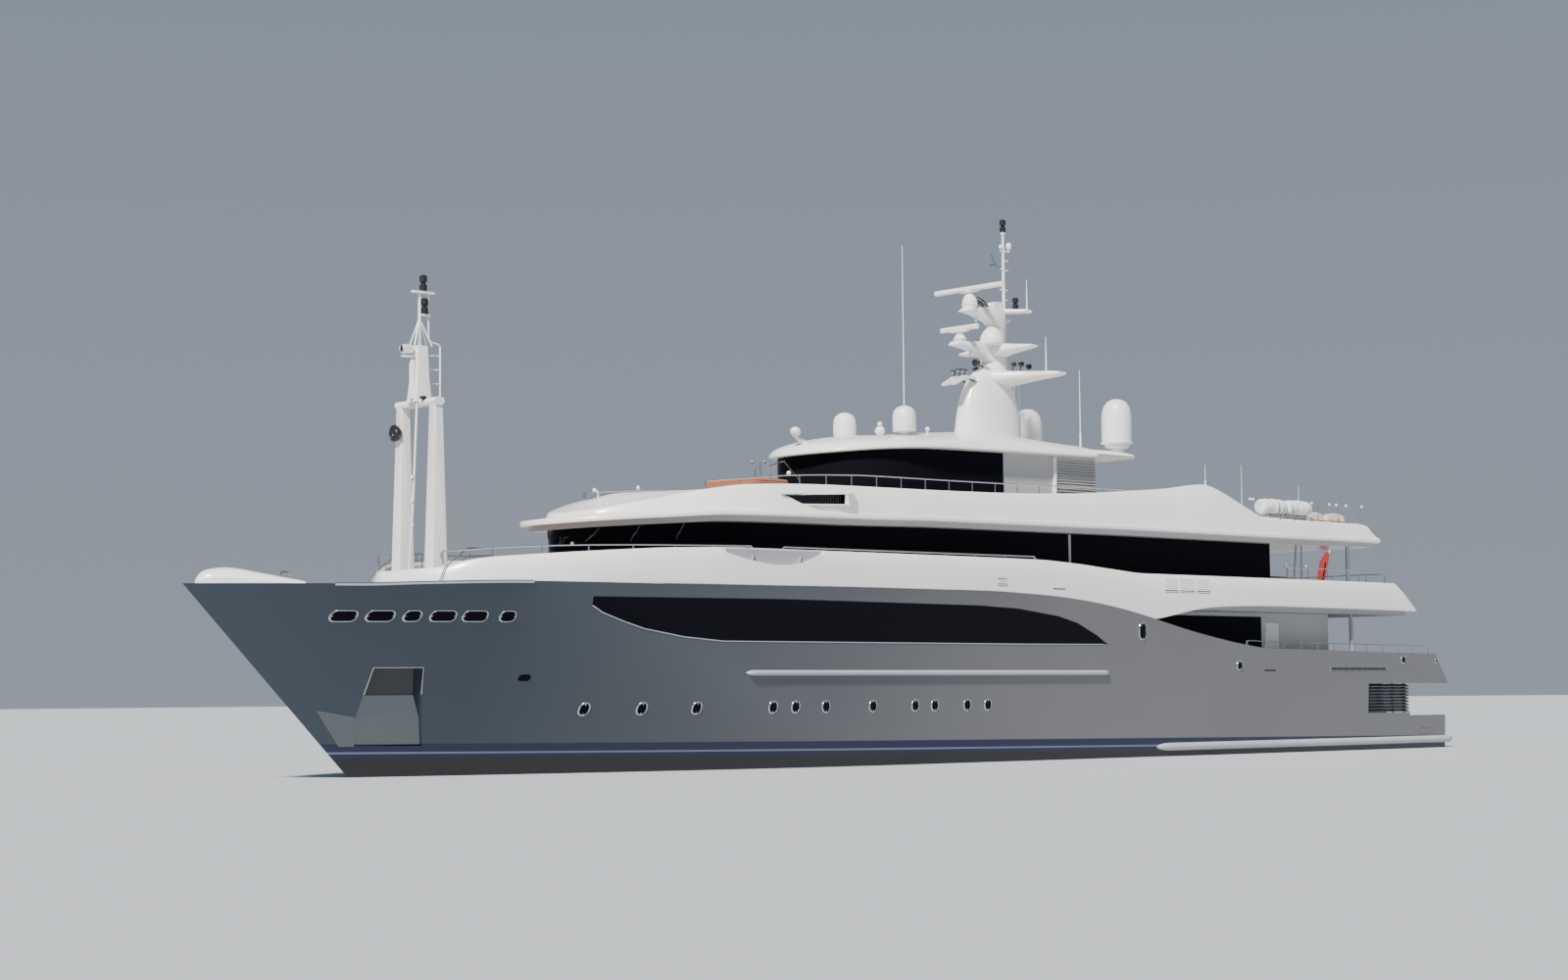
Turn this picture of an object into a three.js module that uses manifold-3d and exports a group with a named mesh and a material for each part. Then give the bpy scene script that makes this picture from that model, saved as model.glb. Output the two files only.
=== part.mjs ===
// A displacement motor yacht of four decks, 62 m long, as a half size model.
// Sizes below are metres of the real yacht. +X is the bow, +Y is port, +Z is up,
// and the origin lies amidships on the centreline at the waterline.

import * as THREE from 'three'
import { mergeVertices } from 'three/addons/utils/BufferGeometryUtils.js'
import Module from 'manifold-3d'

const wasm = await Module()
wasm.setup()

// Scale and fits
const MODEL_MM_PER_METRE = 500 // half size
const SEAT = 0.0007 // clearance between two seated pieces, 0.35 mm in the model

// Driving dimensions of the hull
const BOW_X = 31.0
const STEM_FOOT_X = 24.9 // where the raked stem meets the waterline
const BOW_Z = 6.17
const HALF_BEAM = 5.2
const WATERLINE_HALF_BEAM = 4.95
const CANOE_DEPTH = 2.6
const KEEL_DEPTH = 3.25
const TRANSOM_DEPTH = 0.25
const SHOULDER_X = 17 // the deck line is at full beam aft of this
const RUN_X = -12 // aft of this the sides draw in
const STERN_NARROWING = 0.1
const RIM = 0.35 // width of the hull's deck edge, which carries the white bulwark

// Deck levels
const MAIN_DECK = 3.3
const MOORING_DECK = 4.75
const UPPER_SOFFIT = 5.85
const UPPER_DECK = 6.2
const SUN_DECK = 9.05
const PLATFORM = 0.55

// Stern: the aft deck overhangs the swim platform
const TRANSOM_X = -27.35
const HULL_END_X = -30.25
const OVERHANG_END_X = -30.48
const OVERHANG_SOFFIT = 2.85
const PLATFORM_WALL = 1.45
const FULL_BEAM_END_X = -9.63 // aft of this there are side decks
const DECK_FRONT_X = 23.6 // fore end of the upper deck inside its bulwark

// Finishes: colour, roughness, metalness
const FINISH = {
  hullGrey: [0x6d727a, 0.35, 0.5],
  white: [0xf2f1ee, 0.3, 0.0],
  softGrey: [0xa9a8ab, 0.5, 0.0],
  blackGlass: [0x0b0a10, 0.06, 0.0],
  teak: [0xa07a52, 0.7, 0.0],
  steel: [0xc9ccd0, 0.25, 1.0],
  bronze: [0xa8813f, 0.35, 1.0],
  antifouling: [0x3a2226, 0.8, 0.0],
  slate: [0x2a323c, 0.5, 0.1],
  beige: [0xd9c8a8, 0.9, 0.0],
  red: [0x9a1c24, 0.9, 0.0],
}

// Tables of heights along the yacht, columns x and z, straight between rows
const SHEER = [
  [BOW_X, BOW_Z], [26.4, 6.15], [24.8, 6.2], [21.3, 6.28], [14.9, 6.3], [5.6, 6.35], [0.5, 6.35],
  [-2.7, 6.26], [-4.9, 6.12], [-7.2, 5.85], [FULL_BEAM_END_X, 5.42], [-11.5, 5.05], [-13.2, 4.76],
  [-15.1, 4.49], [-17.0, 4.32], [-20.4, 4.28], [-24.1, 4.22], [-29.1, 4.16], [-31.5, 4.12],
]
const BULWARK_FOOT = [
  [-9.63, 5.42], [-10.8, 5.61], [-12.0, 5.81], [-13.3, 5.95], [-14.6, 6.01], [-17.0, 6.06], [-28.3, 6.02],
]
const BULWARK_TOP = [
  [24.4, 6.45], [23.96, 6.71], [23.1, 6.86], [21.8, 7.05], [20.4, 7.17], [18.2, 7.34], [15.2, 7.51],
  [12.0, 7.57], [0.5, 7.63], [-2.7, 7.62], [-4.9, 7.53], [-7.2, 7.36], [-9.15, 7.24], [-26.65, 7.24],
  [-28.2, 6.12],
]
const SUN_SHELL_FOOT = [
  [17.8, 8.45], [16.3, 8.54], [14.35, 8.65], [11.85, 8.78], [7.0, 8.8], [2.2, 8.88], [-3.1, 8.91],
  [-8.9, 8.94], [-17.7, 8.93], [-25.8, 8.98],
]
const SUN_SHELL_TOP = [
  [17.8, 8.7], [17.3, 9.0], [16.3, 9.4], [14.35, 9.74], [11.4, 9.94], [7.0, 10.05], [2.2, 10.09],
  [-1.1, 10.14], [-5.6, 10.3], [-9.1, 10.57], [-11.6, 10.78], [-13.3, 11.0], [-14.1, 11.06],
  [-14.5, 10.98], [-16.6, 10.13], [-17.3, 9.83], [-20.6, 9.81], [-24.3, 9.8], [-25.3, 9.54],
  [-25.8, 9.1],
]
const HARDTOP_FOOT = [
  [6.35, 11.5], [5.5, 11.55], [3.6, 11.67], [1.2, 11.77], [-1.5, 11.82], [-8.65, 11.9],
]
const HARDTOP_CROWN = [
  [6.35, 11.62], [5.1, 11.97], [3.05, 12.27], [0.4, 12.57], [-2.3, 12.81], [-3.7, 12.89], [-7.0, 12.7],
  [-8.65, 12.6],
]

// Outlines in plan: straight sides and a rounded nose
// columns: aft end, start of the nose, tip, half width, roundness
const UPPER_HOUSE = { aft: -18.6, shoulder: 6, tip: 16.9, half: 3.9, power: 2.3 }
const SUN_SHELL = { aft: -25.8, shoulder: 7, tip: 17.8, half: 4.85, power: 2.3 }
const SUN_HOUSE = { aft: -8.6, shoulder: 0.5, tip: 5.7, half: 3.0, power: 2.6 }
const HARDTOP = { aft: -8.65, shoulder: 0, tip: 6.35, half: 3.45, power: 3 }

// Geometry helpers

function toSolid(geometry) {
  const bare = geometry.index ? geometry.clone() : geometry
  bare.deleteAttribute('normal')
  bare.deleteAttribute('uv')
  const merged = mergeVertices(bare, 1e-5)
  const triangles = []
  for (let i = 0; i < merged.index.count; i += 3) {
    const [a, b, c] = [0, 1, 2].map((k) => merged.index.getX(i + k))
    if (a !== b && b !== c && c !== a) triangles.push(a, b, c)
  }
  return new wasm.Manifold(new wasm.Mesh({
    numProp: 3,
    vertProperties: new Float32Array(merged.attributes.position.array),
    triVerts: new Uint32Array(triangles),
  }))
}

function toGeometry(solid) {
  const mesh = solid.getMesh()
  const geometry = new THREE.BufferGeometry()
  geometry.setAttribute('position', new THREE.BufferAttribute(new Float32Array(mesh.vertProperties), 3))
  geometry.setIndex(new THREE.BufferAttribute(new Uint32Array(mesh.triVerts), 1))
  return geometry
}

function join(...solids) {
  return solids.reduce((sum, next) => sum.add(next))
}

function cut(body, ...tools) {
  return tools.reduce((rest, tool) => rest.subtract(tool), body)
}

function moved(solid, matrix) {
  const geometry = toGeometry(solid)
  geometry.applyMatrix4(matrix)
  if (matrix.determinant() < 0) {
    const index = geometry.index.array
    for (let i = 0; i < index.length; i += 3) [index[i], index[i + 1]] = [index[i + 1], index[i]]
  }
  return toSolid(geometry)
}

function toStarboard(solid) {
  return moved(solid, new THREE.Matrix4().makeScale(1, -1, 1))
}

function bothSides(solid) {
  return join(solid, toStarboard(solid))
}

function box(x0, x1, y0, y1, z0, z1) {
  const geometry = new THREE.BoxGeometry(x1 - x0, y1 - y0, z1 - z0)
  geometry.translate((x0 + x1) / 2, (y0 + y1) / 2, (z0 + z1) / 2)
  return toSolid(geometry)
}

function extrude(outline, depth, matrix) {
  const shape = new THREE.Shape(outline.map(([a, b]) => new THREE.Vector2(a, b)))
  const geometry = new THREE.ExtrudeGeometry(shape, { depth, bevelEnabled: false, curveSegments: 6 })
  geometry.applyMatrix4(matrix)
  return toSolid(geometry)
}

// an outline of x and z, given its thickness from y0 to y1
function sideProfile(outline, y0, y1) {
  const matrix = new THREE.Matrix4().makeRotationX(Math.PI / 2)
  matrix.setPosition(0, y1, 0)
  return extrude(outline, y1 - y0, matrix)
}

// an outline of x and y, raised from z0 to z1
function planProfile(outline, z0, z1) {
  return extrude(outline, z1 - z0, new THREE.Matrix4().makeTranslation(0, 0, z0))
}

// an outline of y and z, run from x0 to x1
function crossProfile(outline, x0, x1) {
  const matrix = new THREE.Matrix4().makeBasis(
    new THREE.Vector3(0, 1, 0), new THREE.Vector3(0, 0, 1), new THREE.Vector3(1, 0, 0))
  matrix.setPosition(x0, 0, 0)
  return extrude(outline, x1 - x0, matrix)
}

function rod(from, to, radius, endRadius = radius, sides = 8) {
  const a = new THREE.Vector3(...from)
  const b = new THREE.Vector3(...to)
  const geometry = new THREE.CylinderGeometry(endRadius, radius, a.distanceTo(b), sides)
  const turn = new THREE.Quaternion().setFromUnitVectors(
    new THREE.Vector3(0, 1, 0), b.clone().sub(a).normalize())
  geometry.applyQuaternion(turn)
  const middle = a.add(b).multiplyScalar(0.5)
  geometry.translate(middle.x, middle.y, middle.z)
  return toSolid(geometry)
}

// a turned shape with an upright axis at x, y; the profile holds radius and height
function turned(profile, x, y, sides = 16) {
  const geometry = new THREE.LatheGeometry(profile.map(([r, z]) => new THREE.Vector2(r, z)), sides)
  geometry.rotateX(Math.PI / 2)
  geometry.translate(x, y, 0)
  return toSolid(geometry)
}

// a skin through rings of equal count, closed by flat ends
function loft(rings) {
  const count = rings[0].length
  const positions = rings.flat(2)
  const triangles = []
  for (let i = 0; i + 1 < rings.length; i++) {
    for (let j = 0; j < count; j++) {
      const [a, b] = [i * count + j, i * count + (j + 1) % count]
      const [c, d] = [b + count, a + count]
      // the diagonals on starboard mirror those on port
      if (2 * j < count - 1) triangles.push(a, b, c, a, c, d)
      else triangles.push(a, b, d, b, c, d)
    }
  }
  const last = (rings.length - 1) * count
  for (let i = 0, j = count; i + 1 < j; i++, j--) {
    const [a, b, c, d] = [i, i + 1, j - 1, j % count]
    triangles.push(a, c, b, last + a, last + b, last + c)
    if (i > 0) triangles.push(a, d, c, last + a, last + c, last + d)
  }
  const geometry = new THREE.BufferGeometry()
  geometry.setAttribute('position', new THREE.Float32BufferAttribute(positions, 3))
  if (signedVolume(positions, triangles) < 0) {
    for (let i = 0; i < triangles.length; i += 3) {
      [triangles[i], triangles[i + 1]] = [triangles[i + 1], triangles[i]]
    }
  }
  geometry.setIndex(triangles)
  return toSolid(geometry)
}

function signedVolume(positions, triangles) {
  const corner = (k) => new THREE.Vector3(positions[3 * k], positions[3 * k + 1], positions[3 * k + 2])
  let volume = 0
  for (let i = 0; i < triangles.length; i += 3) {
    const [a, b, c] = [0, 1, 2].map((k) => corner(triangles[i + k]))
    volume += a.dot(b.cross(c)) / 6
  }
  return volume
}

// height at x from a table of x and z whose rows run aft
function level(table, x) {
  for (let i = 1; i < table.length; i++) {
    const [[x0, z0], [x1, z1]] = [table[i - 1], table[i]]
    if (x >= x1) return z0 + (z1 - z0) * THREE.MathUtils.clamp((x - x0) / (x1 - x0), 0, 1)
  }
  return table[table.length - 1][1]
}

function stationsBetween(aft, fore, ...lists) {
  const inside = lists.flat().filter((x) => x > aft + 0.02 && x < fore - 0.02)
  return [...new Set([aft, fore, ...inside])].sort((a, b) => a - b)
}

// Hull lines

const HULL_STATIONS = [
  -31.5, -28, ...SHEER.map(([x]) => x).filter((x) => x > -25 && x < 21.5), 9.5, 18.3, 19.8, 22.4, 24, 25.4,
  26.8, 28, 29, 29.8, 30.4, 30.8,
].sort((a, b) => a - b)
const HULL_ROWS = [0, 0.012, 0.045, 0.1, 0.18, 0.3, 0.43, 0.58, 0.74, 0.88, 1] // shares of the depth

function stemX(z) {
  return STEM_FOOT_X + (BOW_X - STEM_FOOT_X) * z / BOW_Z
}

function keelZ(x) {
  if (x > STEM_FOOT_X) return BOW_Z * (x - STEM_FOOT_X) / (BOW_X - STEM_FOOT_X)
  if (x > 15) return -CANOE_DEPTH * (1 - ((x - 15) / (STEM_FOOT_X - 15)) ** 3)
  if (x > -8) return -CANOE_DEPTH
  return -CANOE_DEPTH + (CANOE_DEPTH - TRANSOM_DEPTH) * ((-8 - x) / 23) ** 1.3
}

// half the hull's breadth at x and height z
function hullHalf(x, z) {
  const share = THREE.MathUtils.clamp(z / BOW_Z, 0, 1.3)
  const start = 4 + (SHOULDER_X - 4) * share
  const tip = stemX(Math.max(z, 0))
  const full = WATERLINE_HALF_BEAM + (HALF_BEAM - WATERLINE_HALF_BEAM) * Math.min(share, 1)
  const along = THREE.MathUtils.clamp((x - start) / (tip - start), 0, 1)
  const taper = x < RUN_X ? 1 - STERN_NARROWING * ((RUN_X - x) / 19) ** 2 : 1
  const half = full * (1 - along ** (1.75 + 0.65 * share)) * taper
  if (z >= 0) return half
  const fullness = THREE.MathUtils.clamp((22 - x) / 18, 0, 1)
  const depth = THREE.MathUtils.clamp(z / Math.min(keelZ(x), -0.01), 0, 1)
  return half * (1 - depth ** (1.3 + 1.5 * fullness)) ** (1 - 0.5 * fullness)
}

// the bare hull, grown outwards by grow and, to cut with, raised above the deck edge by raise
function hullForm(grow = 0, raise = 0) {
  const rings = HULL_STATIONS.map((x) => {
    const keel = keelZ(x)
    const top = level(SHEER, x)
    const rows = HULL_ROWS.map((share, i) => {
      const z = keel + (top - keel) * share
      return [x, Math.max(hullHalf(x, z) + grow, 0.004 * i), z - (i ? 0 : Math.max(grow, 0))]
    })
    rows[0][1] = 0
    const deck = [x, rows[rows.length - 1][1], top + raise]
    const port = raise ? [...rows.slice(1), deck] : rows.slice(1)
    const starboard = port.map(([a, y, z]) => [a, -y, z]).reverse()
    return [rows[0], ...port, ...starboard]
  })
  return loft(rings)
}

function deckHalf(x) {
  return hullHalf(x, level(SHEER, x))
}

// a block whose half width follows a function of x, between heights that may also follow x
function planBlock(aft, fore, half, bottom, top, ...stations) {
  const at = (value, x) => (typeof value === 'function' ? value(x) : value)
  const rings = stationsBetween(aft, fore, ...stations).map((x) => {
    const [y, z0, z1] = [half(x), at(bottom, x), at(top, x)]
    return [[x, y, z0], [x, y, z1], [x, -y, z1], [x, -y, z0]]
  })
  return loft(rings)
}

// Rounded outlines

function outlineHalf(shape, x) {
  if (x <= shape.shoulder) return shape.half
  const share = Math.min((x - shape.shoulder) / (shape.tip - shape.shoulder), 0.9985)
  return shape.half * (1 - share ** shape.power) ** (1 / shape.power)
}

function noseStations(shape) {
  const turns = [0, 0.18, 0.36, 0.52, 0.66, 0.78, 0.88, 0.95]
  return turns.map((share) => shape.shoulder + (shape.tip - shape.shoulder) * Math.sin(share * Math.PI / 2))
}

function grown(shape, by) {
  return { ...shape, tip: shape.tip + by, half: shape.half + by }
}

function outlineBlock(shape, bottom, top, ...stations) {
  return planBlock(shape.aft, shape.tip, (x) => outlineHalf(shape, x), bottom, top,
    noseStations(shape), ...stations)
}

// The yacht

const yacht = new THREE.Group()

function add(name, solid, finish) {
  const [color, roughness, metalness] = FINISH[finish]
  const geometry = toGeometry(solid)
  geometry.scale(MODEL_MM_PER_METRE, MODEL_MM_PER_METRE, MODEL_MM_PER_METRE)
  const mesh = new THREE.Mesh(geometry, new THREE.MeshStandardMaterial({ color, roughness, metalness }))
  mesh.name = name
  yacht.add(mesh)
}

function addPair(name, portSolid, finish) {
  add(`${name}_port`, portSolid, finish)
  add(`${name}_stbd`, toStarboard(portSolid), finish)
}

// Under water gear, shared sizes
const SHAFT_Y = 2.2
const SHAFT_SLOPE = 0.0524
const PROPELLER_X = -26.3
const PROPELLER_Z = -2.15
const PROPELLER_RADIUS = 1.05
const SHAFT_RADIUS = 0.11
const BOSSING_END_X = -19.6
const BRACKET_X = -25.2
const RUDDER_X = -28.7
const RUDDER_TOP = -0.85
const RUDDER_FOOT = -3.1
const FIN_X = 2.0
const FIN_ROOT = [4.0, -1.9] // y and z of the fin's seat on the bilge
const FIN_TILT = THREE.MathUtils.degToRad(45) // the fin points outwards and down

function shaftZ(x) {
  return PROPELLER_Z + (x - PROPELLER_X) * SHAFT_SLOPE
}

// Windows in the hull's side, outline of x and z
const HULL_WINDOW = [
  [18.75, 5.54], [18.75, 5.8], [10.4, 5.86], [0.55, 5.8], [-1.6, 5.71], [-3.8, 5.46], [-4.9, 5.21], [-6.0, 4.77],
  [-6.65, 4.43], [13.2, 4.42], [14.9, 4.55], [16.6, 4.81], [17.4, 5.03], [18.3, 5.32],
]
const GLASS_THICKNESS = 0.08
const POCKET = [[25.1, 3.5], [23.4, 3.5], [23.1, 1.0], [24.4, 1.0], [24.75, 1.9]]
const POCKET_DEPTH = 0.55
const LOUVRE = { fore: -24.1, aft: TRANSOM_X, foot: 1.58, top: OVERHANG_SOFFIT }
const GARAGE = { fore: -23.4, half: 2.9, floor: 0.65, top: 2.7 }
const STAIR = { top: -24.2, inner: 3.3, outer: 4.3, steps: 10 }
const MAIN_HOUSE = { aft: -23.0, fore: FULL_BEAM_END_X - SEAT, half: 3.6, wall: 0.15 }

// an outline moved outwards by the same distance on every edge; its points run anticlockwise
function spread(outline, by) {
  const normal = (a, b) => new THREE.Vector2(b[1] - a[1], a[0] - b[0]).normalize()
  return outline.map((point, i) => {
    const before = normal(outline[(i + outline.length - 1) % outline.length], point)
    const after = normal(point, outline[(i + 1) % outline.length])
    const mitre = before.add(after).normalize()
    const reach = by / Math.max(mitre.dot(after), 0.3)
    return [point[0] + mitre.x * reach, point[1] + mitre.y * reach]
  })
}

// The hull: solid below its decks, with the wells, the stern notch and the pockets cut
function makeHull() {
  const inner = (wall) => hullForm(-wall, 3)
  let hull = hullForm()
  // the deck inside the rim is level under the upper deck
  const rimmed = (x) => deckHalf(x) - RIM
  hull = join(hull, planBlock(FULL_BEAM_END_X, 0.5, rimmed, 5, UPPER_SOFFIT, HULL_STATIONS))
  hull = cut(hull, planBlock(FULL_BEAM_END_X, DECK_FRONT_X, rimmed, UPPER_SOFFIT, 9, HULL_STATIONS))
  // mooring well in the bow, aft main deck inside its bulwarks
  hull = cut(hull, inner(0.3).intersect(box(24.2, 28.6, -6, 6, MOORING_DECK, 9)))
  hull = cut(hull, inner(0.25).intersect(box(-29.7, FULL_BEAM_END_X, -6, 6, MAIN_DECK, 9)))
  // stern notch, slanted stern and swim platform
  hull = cut(hull, box(-32, TRANSOM_X, -6, 6, PLATFORM_WALL, OVERHANG_SOFFIT))
  hull = cut(hull, inner(0.3).intersect(box(-32, TRANSOM_X, -6, 6, PLATFORM, PLATFORM_WALL + 0.1)))
  hull = cut(hull, box(-32, HULL_END_X, -6, 6, -3, PLATFORM_WALL + 0.1))
  hull = cut(hull, sideProfile(
    [[OVERHANG_END_X, 2.5], [OVERHANG_END_X, OVERHANG_SOFFIT], [-29.55, 3.94], [-29.3, 5], [-33, 5], [-33, 2.5]],
    -6, 6))
  // garage behind the transom door, and a stair on each side of it
  hull = cut(hull, box(TRANSOM_X - 0.5, GARAGE.fore, -GARAGE.half, GARAGE.half, GARAGE.floor, GARAGE.top))
  hull = cut(hull, bothSides(box(TRANSOM_X - 0.5, STAIR.top, STAIR.inner, STAIR.outer, PLATFORM, 5)))
  hull = cut(hull, bothSides(box(TRANSOM_X - 0.5, LOUVRE.fore, STAIR.outer - 0.1, 6, LOUVRE.foot, LOUVRE.top)))
  const rise = (MAIN_DECK - PLATFORM) / (STAIR.steps + 1)
  const run = (STAIR.top - TRANSOM_X) / STAIR.steps
  const treads = [[STAIR.top, PLATFORM - 0.1]]
  for (let i = STAIR.steps; i > 0; i--) {
    const back = STAIR.top - run * (STAIR.steps - i)
    treads.push([back, PLATFORM + rise * i], [back - run, PLATFORM + rise * i])
  }
  treads.push([TRANSOM_X, PLATFORM - 0.1])
  hull = join(hull, bothSides(sideProfile(treads, STAIR.inner - 0.05, STAIR.outer + 0.05)))
  // side windows and anchor pockets are set into the skin
  const windowRecess = cut(sideProfile(spread(HULL_WINDOW, 0.02), 3, 6), hullForm(-GLASS_THICKNESS - SEAT))
  hull = cut(hull, bothSides(windowRecess))
  const pocket = cut(sideProfile(POCKET, 0.5, 6), hullForm(-POCKET_DEPTH))
  hull = cut(hull, bothSides(pocket))
  // bulb, keel, shaft bossings, rudder palms and fin pads
  hull = join(hull, bulb(), keel(), bothSides(bossing()), bothSides(rudderPalm()), bothSides(finPad()))
  return hull
}

function bulb() {
  const geometry = new THREE.SphereGeometry(1, 14, 10)
  geometry.rotateZ(Math.PI / 2)
  geometry.scale(4.2, 0.62, 0.85)
  geometry.translate(22.6, 0, -1.75)
  return toSolid(geometry)
}

function keel() {
  return sideProfile([[10, -2.4], [8, -KEEL_DEPTH], [-22.8, -KEEL_DEPTH], [-24.6, -0.9], [-8, -2.2]], -0.22, 0.22)
}

function bossing() {
  return rod([-14.5, SHAFT_Y, shaftZ(-14.5)], [BOSSING_END_X, SHAFT_Y, shaftZ(BOSSING_END_X)], 0.42, 0.2, 12)
}

function rudderPalm() {
  return rod([RUDDER_X, SHAFT_Y, -0.1], [RUDDER_X, SHAFT_Y, RUDDER_TOP], 0.3, 0.3, 12)
}

function finFrame() {
  const frame = new THREE.Matrix4().makeRotationX(FIN_TILT)
  frame.setPosition(FIN_X, FIN_ROOT[0], FIN_ROOT[1])
  return frame
}

function finPad() {
  return moved(rod([0, 0, 0.9], [0, 0, 0], 0.45, 0.45, 12), finFrame())
}

const hull = makeHull()
add('hull', hull, 'hullGrey')

const hullWindow = sideProfile(HULL_WINDOW, 3, 6).intersect(cut(hullForm(), hullForm(-GLASS_THICKNESS)))
addPair('hull_window', hullWindow, 'blackGlass')

// Rubbing strakes: amidships on each side, and a rail round the stern
function strake(aft, fore, foot, top, reach) {
  const outer = planBlock(aft, fore, (x) => hullHalf(x, (foot + top) / 2) + reach, foot, top, HULL_STATIONS)
  const rough = outer.intersect(box(aft, fore, 0, 6, foot, top))
  return cut(rough, hullForm(SEAT))
}

addPair('side_strake', strake(-6.8, 12.1, 3.22, 3.42, 0.16), 'softGrey')

function sternRail() {
  const arms = cut(
    planBlock(-31.0, -9.73, (x) => hullHalf(x, 0.4) + 0.2, 0.22, 0.54, HULL_STATIONS),
    hullForm(SEAT).intersect(box(HULL_END_X - SEAT, 0, -6, 6, -4, 4)))
  return arms
}

add('stern_rail', sternRail(), 'softGrey')

const platformDeck = planBlock(-30.2, TRANSOM_X - 0.12, (x) => hullHalf(x, PLATFORM) - 0.32,
  PLATFORM + SEAT, PLATFORM + 0.04, HULL_STATIONS)
add('swim_platform', platformDeck, 'teak')

// Louvre of slats beside each stair
function louvre() {
  const slatCount = 8
  const pitch = (LOUVRE.top - LOUVRE.foot) / slatCount
  const y1 = hullHalf(-26, 2.2)
  let panel = join(
    box(LOUVRE.fore - 0.25, LOUVRE.fore - SEAT, y1 - 0.22, y1 - 0.1, LOUVRE.foot + SEAT, LOUVRE.top - SEAT),
    box(TRANSOM_X + 0.2, TRANSOM_X + 0.35, y1 - 0.22, y1 - 0.1, LOUVRE.foot + SEAT, LOUVRE.top - SEAT))
  for (let i = 0; i < slatCount; i++) {
    const foot = LOUVRE.foot + pitch * i + 0.03
    panel = join(panel, box(TRANSOM_X, LOUVRE.fore - SEAT, y1 - 0.2, y1, foot, foot + pitch * 0.5))
  }
  return panel
}

addPair('louvre', louvre(), 'slate')

// Transom door: hinged along its top edge under the aft deck
const TRANSOM_DOOR = { half: 2.95, foot: 0.62, top: 2.76, thickness: 0.09 }
const DOOR_GAP = 0.01 // running clearance of a door, 5 mm in the model

function transomDoor() {
  const { half, foot, top, thickness } = TRANSOM_DOOR
  const outer = TRANSOM_X - DOOR_GAP - thickness
  // the hinge barrels on the top edge run just below the deck overhang
  const radius = OVERHANG_SOFFIT - top - SEAT
  const barrel = rod([outer, 2.0, top], [outer, 2.5, top], radius, radius, 16)
  return join(box(outer, TRANSOM_X - DOOR_GAP, -half, half, foot, top), bothSides(barrel))
}

add('transom_door', transomDoor(), 'hullGrey')

// Teak decks
const mooringDeck = hullForm(-0.32, 3).intersect(box(24.25, 28.5, -6, 6, MOORING_DECK + SEAT, MOORING_DECK + 0.04))
add('mooring_deck', mooringDeck, 'teak')

const PILLAR = { x: -23.7, y: 4.3, radius: 0.09 }

function mainDeck() {
  const { aft, fore, half } = MAIN_HOUSE
  const teak = hullForm(-0.27, 3).intersect(box(-29.6, FULL_BEAM_END_X - 0.02, -6, 6, MAIN_DECK + SEAT, MAIN_DECK + 0.04))
  return cut(teak,
    box(aft - SEAT, fore + 1, -half - SEAT, half + SEAT, 3, 4),
    bothSides(box(TRANSOM_X - 0.51, STAIR.top + 0.01, STAIR.inner - 0.01, STAIR.outer + 0.01, 3, 4)),
    bothSides(rod([PILLAR.x, PILLAR.y, 3], [PILLAR.x, PILLAR.y, 4], PILLAR.radius + 0.01, PILLAR.radius + 0.01, 12)))
}

// Upper deck: the slab inside the rim, with two pillars below its aft end
function upperDeck() {
  const slab = planBlock(-27.6, DECK_FRONT_X - SEAT, (x) => deckHalf(x) - RIM - 0.002, UPPER_SOFFIT + SEAT, UPPER_DECK,
    HULL_STATIONS)
  const pillar = rod([PILLAR.x, PILLAR.y, MAIN_DECK + SEAT], [PILLAR.x, PILLAR.y, UPPER_SOFFIT + 0.1], PILLAR.radius,
    PILLAR.radius, 12)
  return join(slab, bothSides(pillar))
}

add('upper_deck', upperDeck(), 'teak')

// White bulwark round the upper deck
function bulwarkHalf(x) {
  const front = THREE.MathUtils.clamp((x - 22.2) / 2.2, 0, 0.998)
  return deckHalf(x) * (1 - front ** 3) ** (1 / 3)
}

function bulwark() {
  const marks = [...BULWARK_TOP.map(([x]) => x), ...BULWARK_FOOT.map(([x]) => x), ...HULL_STATIONS,
    23.6, 24.2]
  const foot = (x) => (x < FULL_BEAM_END_X ? level(BULWARK_FOOT, x) : level(SHEER, x) + SEAT)
  const rings = (aft, fore, bottomInset, topInset, lower, raise) => stationsBetween(aft, fore, marks).map((x) => {
    const y0 = Math.max(bulwarkHalf(x) - bottomInset, 0.01)
    const y1 = Math.max(bulwarkHalf(x) - topInset, 0.008)
    const [z0, z1] = [foot(x) - lower, level(BULWARK_TOP, x) + raise]
    return [[x, y0, z0], [x, y1, z1], [x, -y1, z1], [x, -y0, z0]]
  })
  const outer = loft(rings(-28.2, 24.4, 0, 0.12, 0, 0))
  const inner = loft(rings(-27.6, 23.9, RIM, 0.32, 1, 0.5))
  return cut(outer, inner)
}

add('bulwark', bulwark(), 'white')

// Main deckhouse: hollow, with side windows, a door on each side and sliding doors aft
const SIDE_DOOR = { fore: -18.62, width: 0.95, foot: 3.45, top: 5.45 }
const AFT_OPENING = { half: 2.6, fixed: 1.3, foot: 3.42, top: 5.5 } // fixed: inner edge of the fixed panes

function mainHouse() {
  const { aft, fore, half, wall } = MAIN_HOUSE
  const [foot, top] = [MAIN_DECK + SEAT, UPPER_SOFFIT]
  let house = box(aft, fore, -half, half, foot, top)
  house = cut(house, box(aft + wall, fore - wall, -half + wall, half - wall, foot - 1, top - 0.08))
  for (const [x0, x1] of [[-12.9, -10.7], [-15.5, -13.1], [-18.2, -15.7]]) {
    house = cut(house, box(x0, x1, -4, 4, 3.95, 5.6))
  }
  const doorAft = SIDE_DOOR.fore - SIDE_DOOR.width
  house = cut(house, box(doorAft, SIDE_DOOR.fore, -4, 4, SIDE_DOOR.foot, SIDE_DOOR.top))
  house = cut(house, box(aft - 1, aft + 1, -AFT_OPENING.half, AFT_OPENING.half, AFT_OPENING.foot, AFT_OPENING.top))
  return house
}

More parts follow.
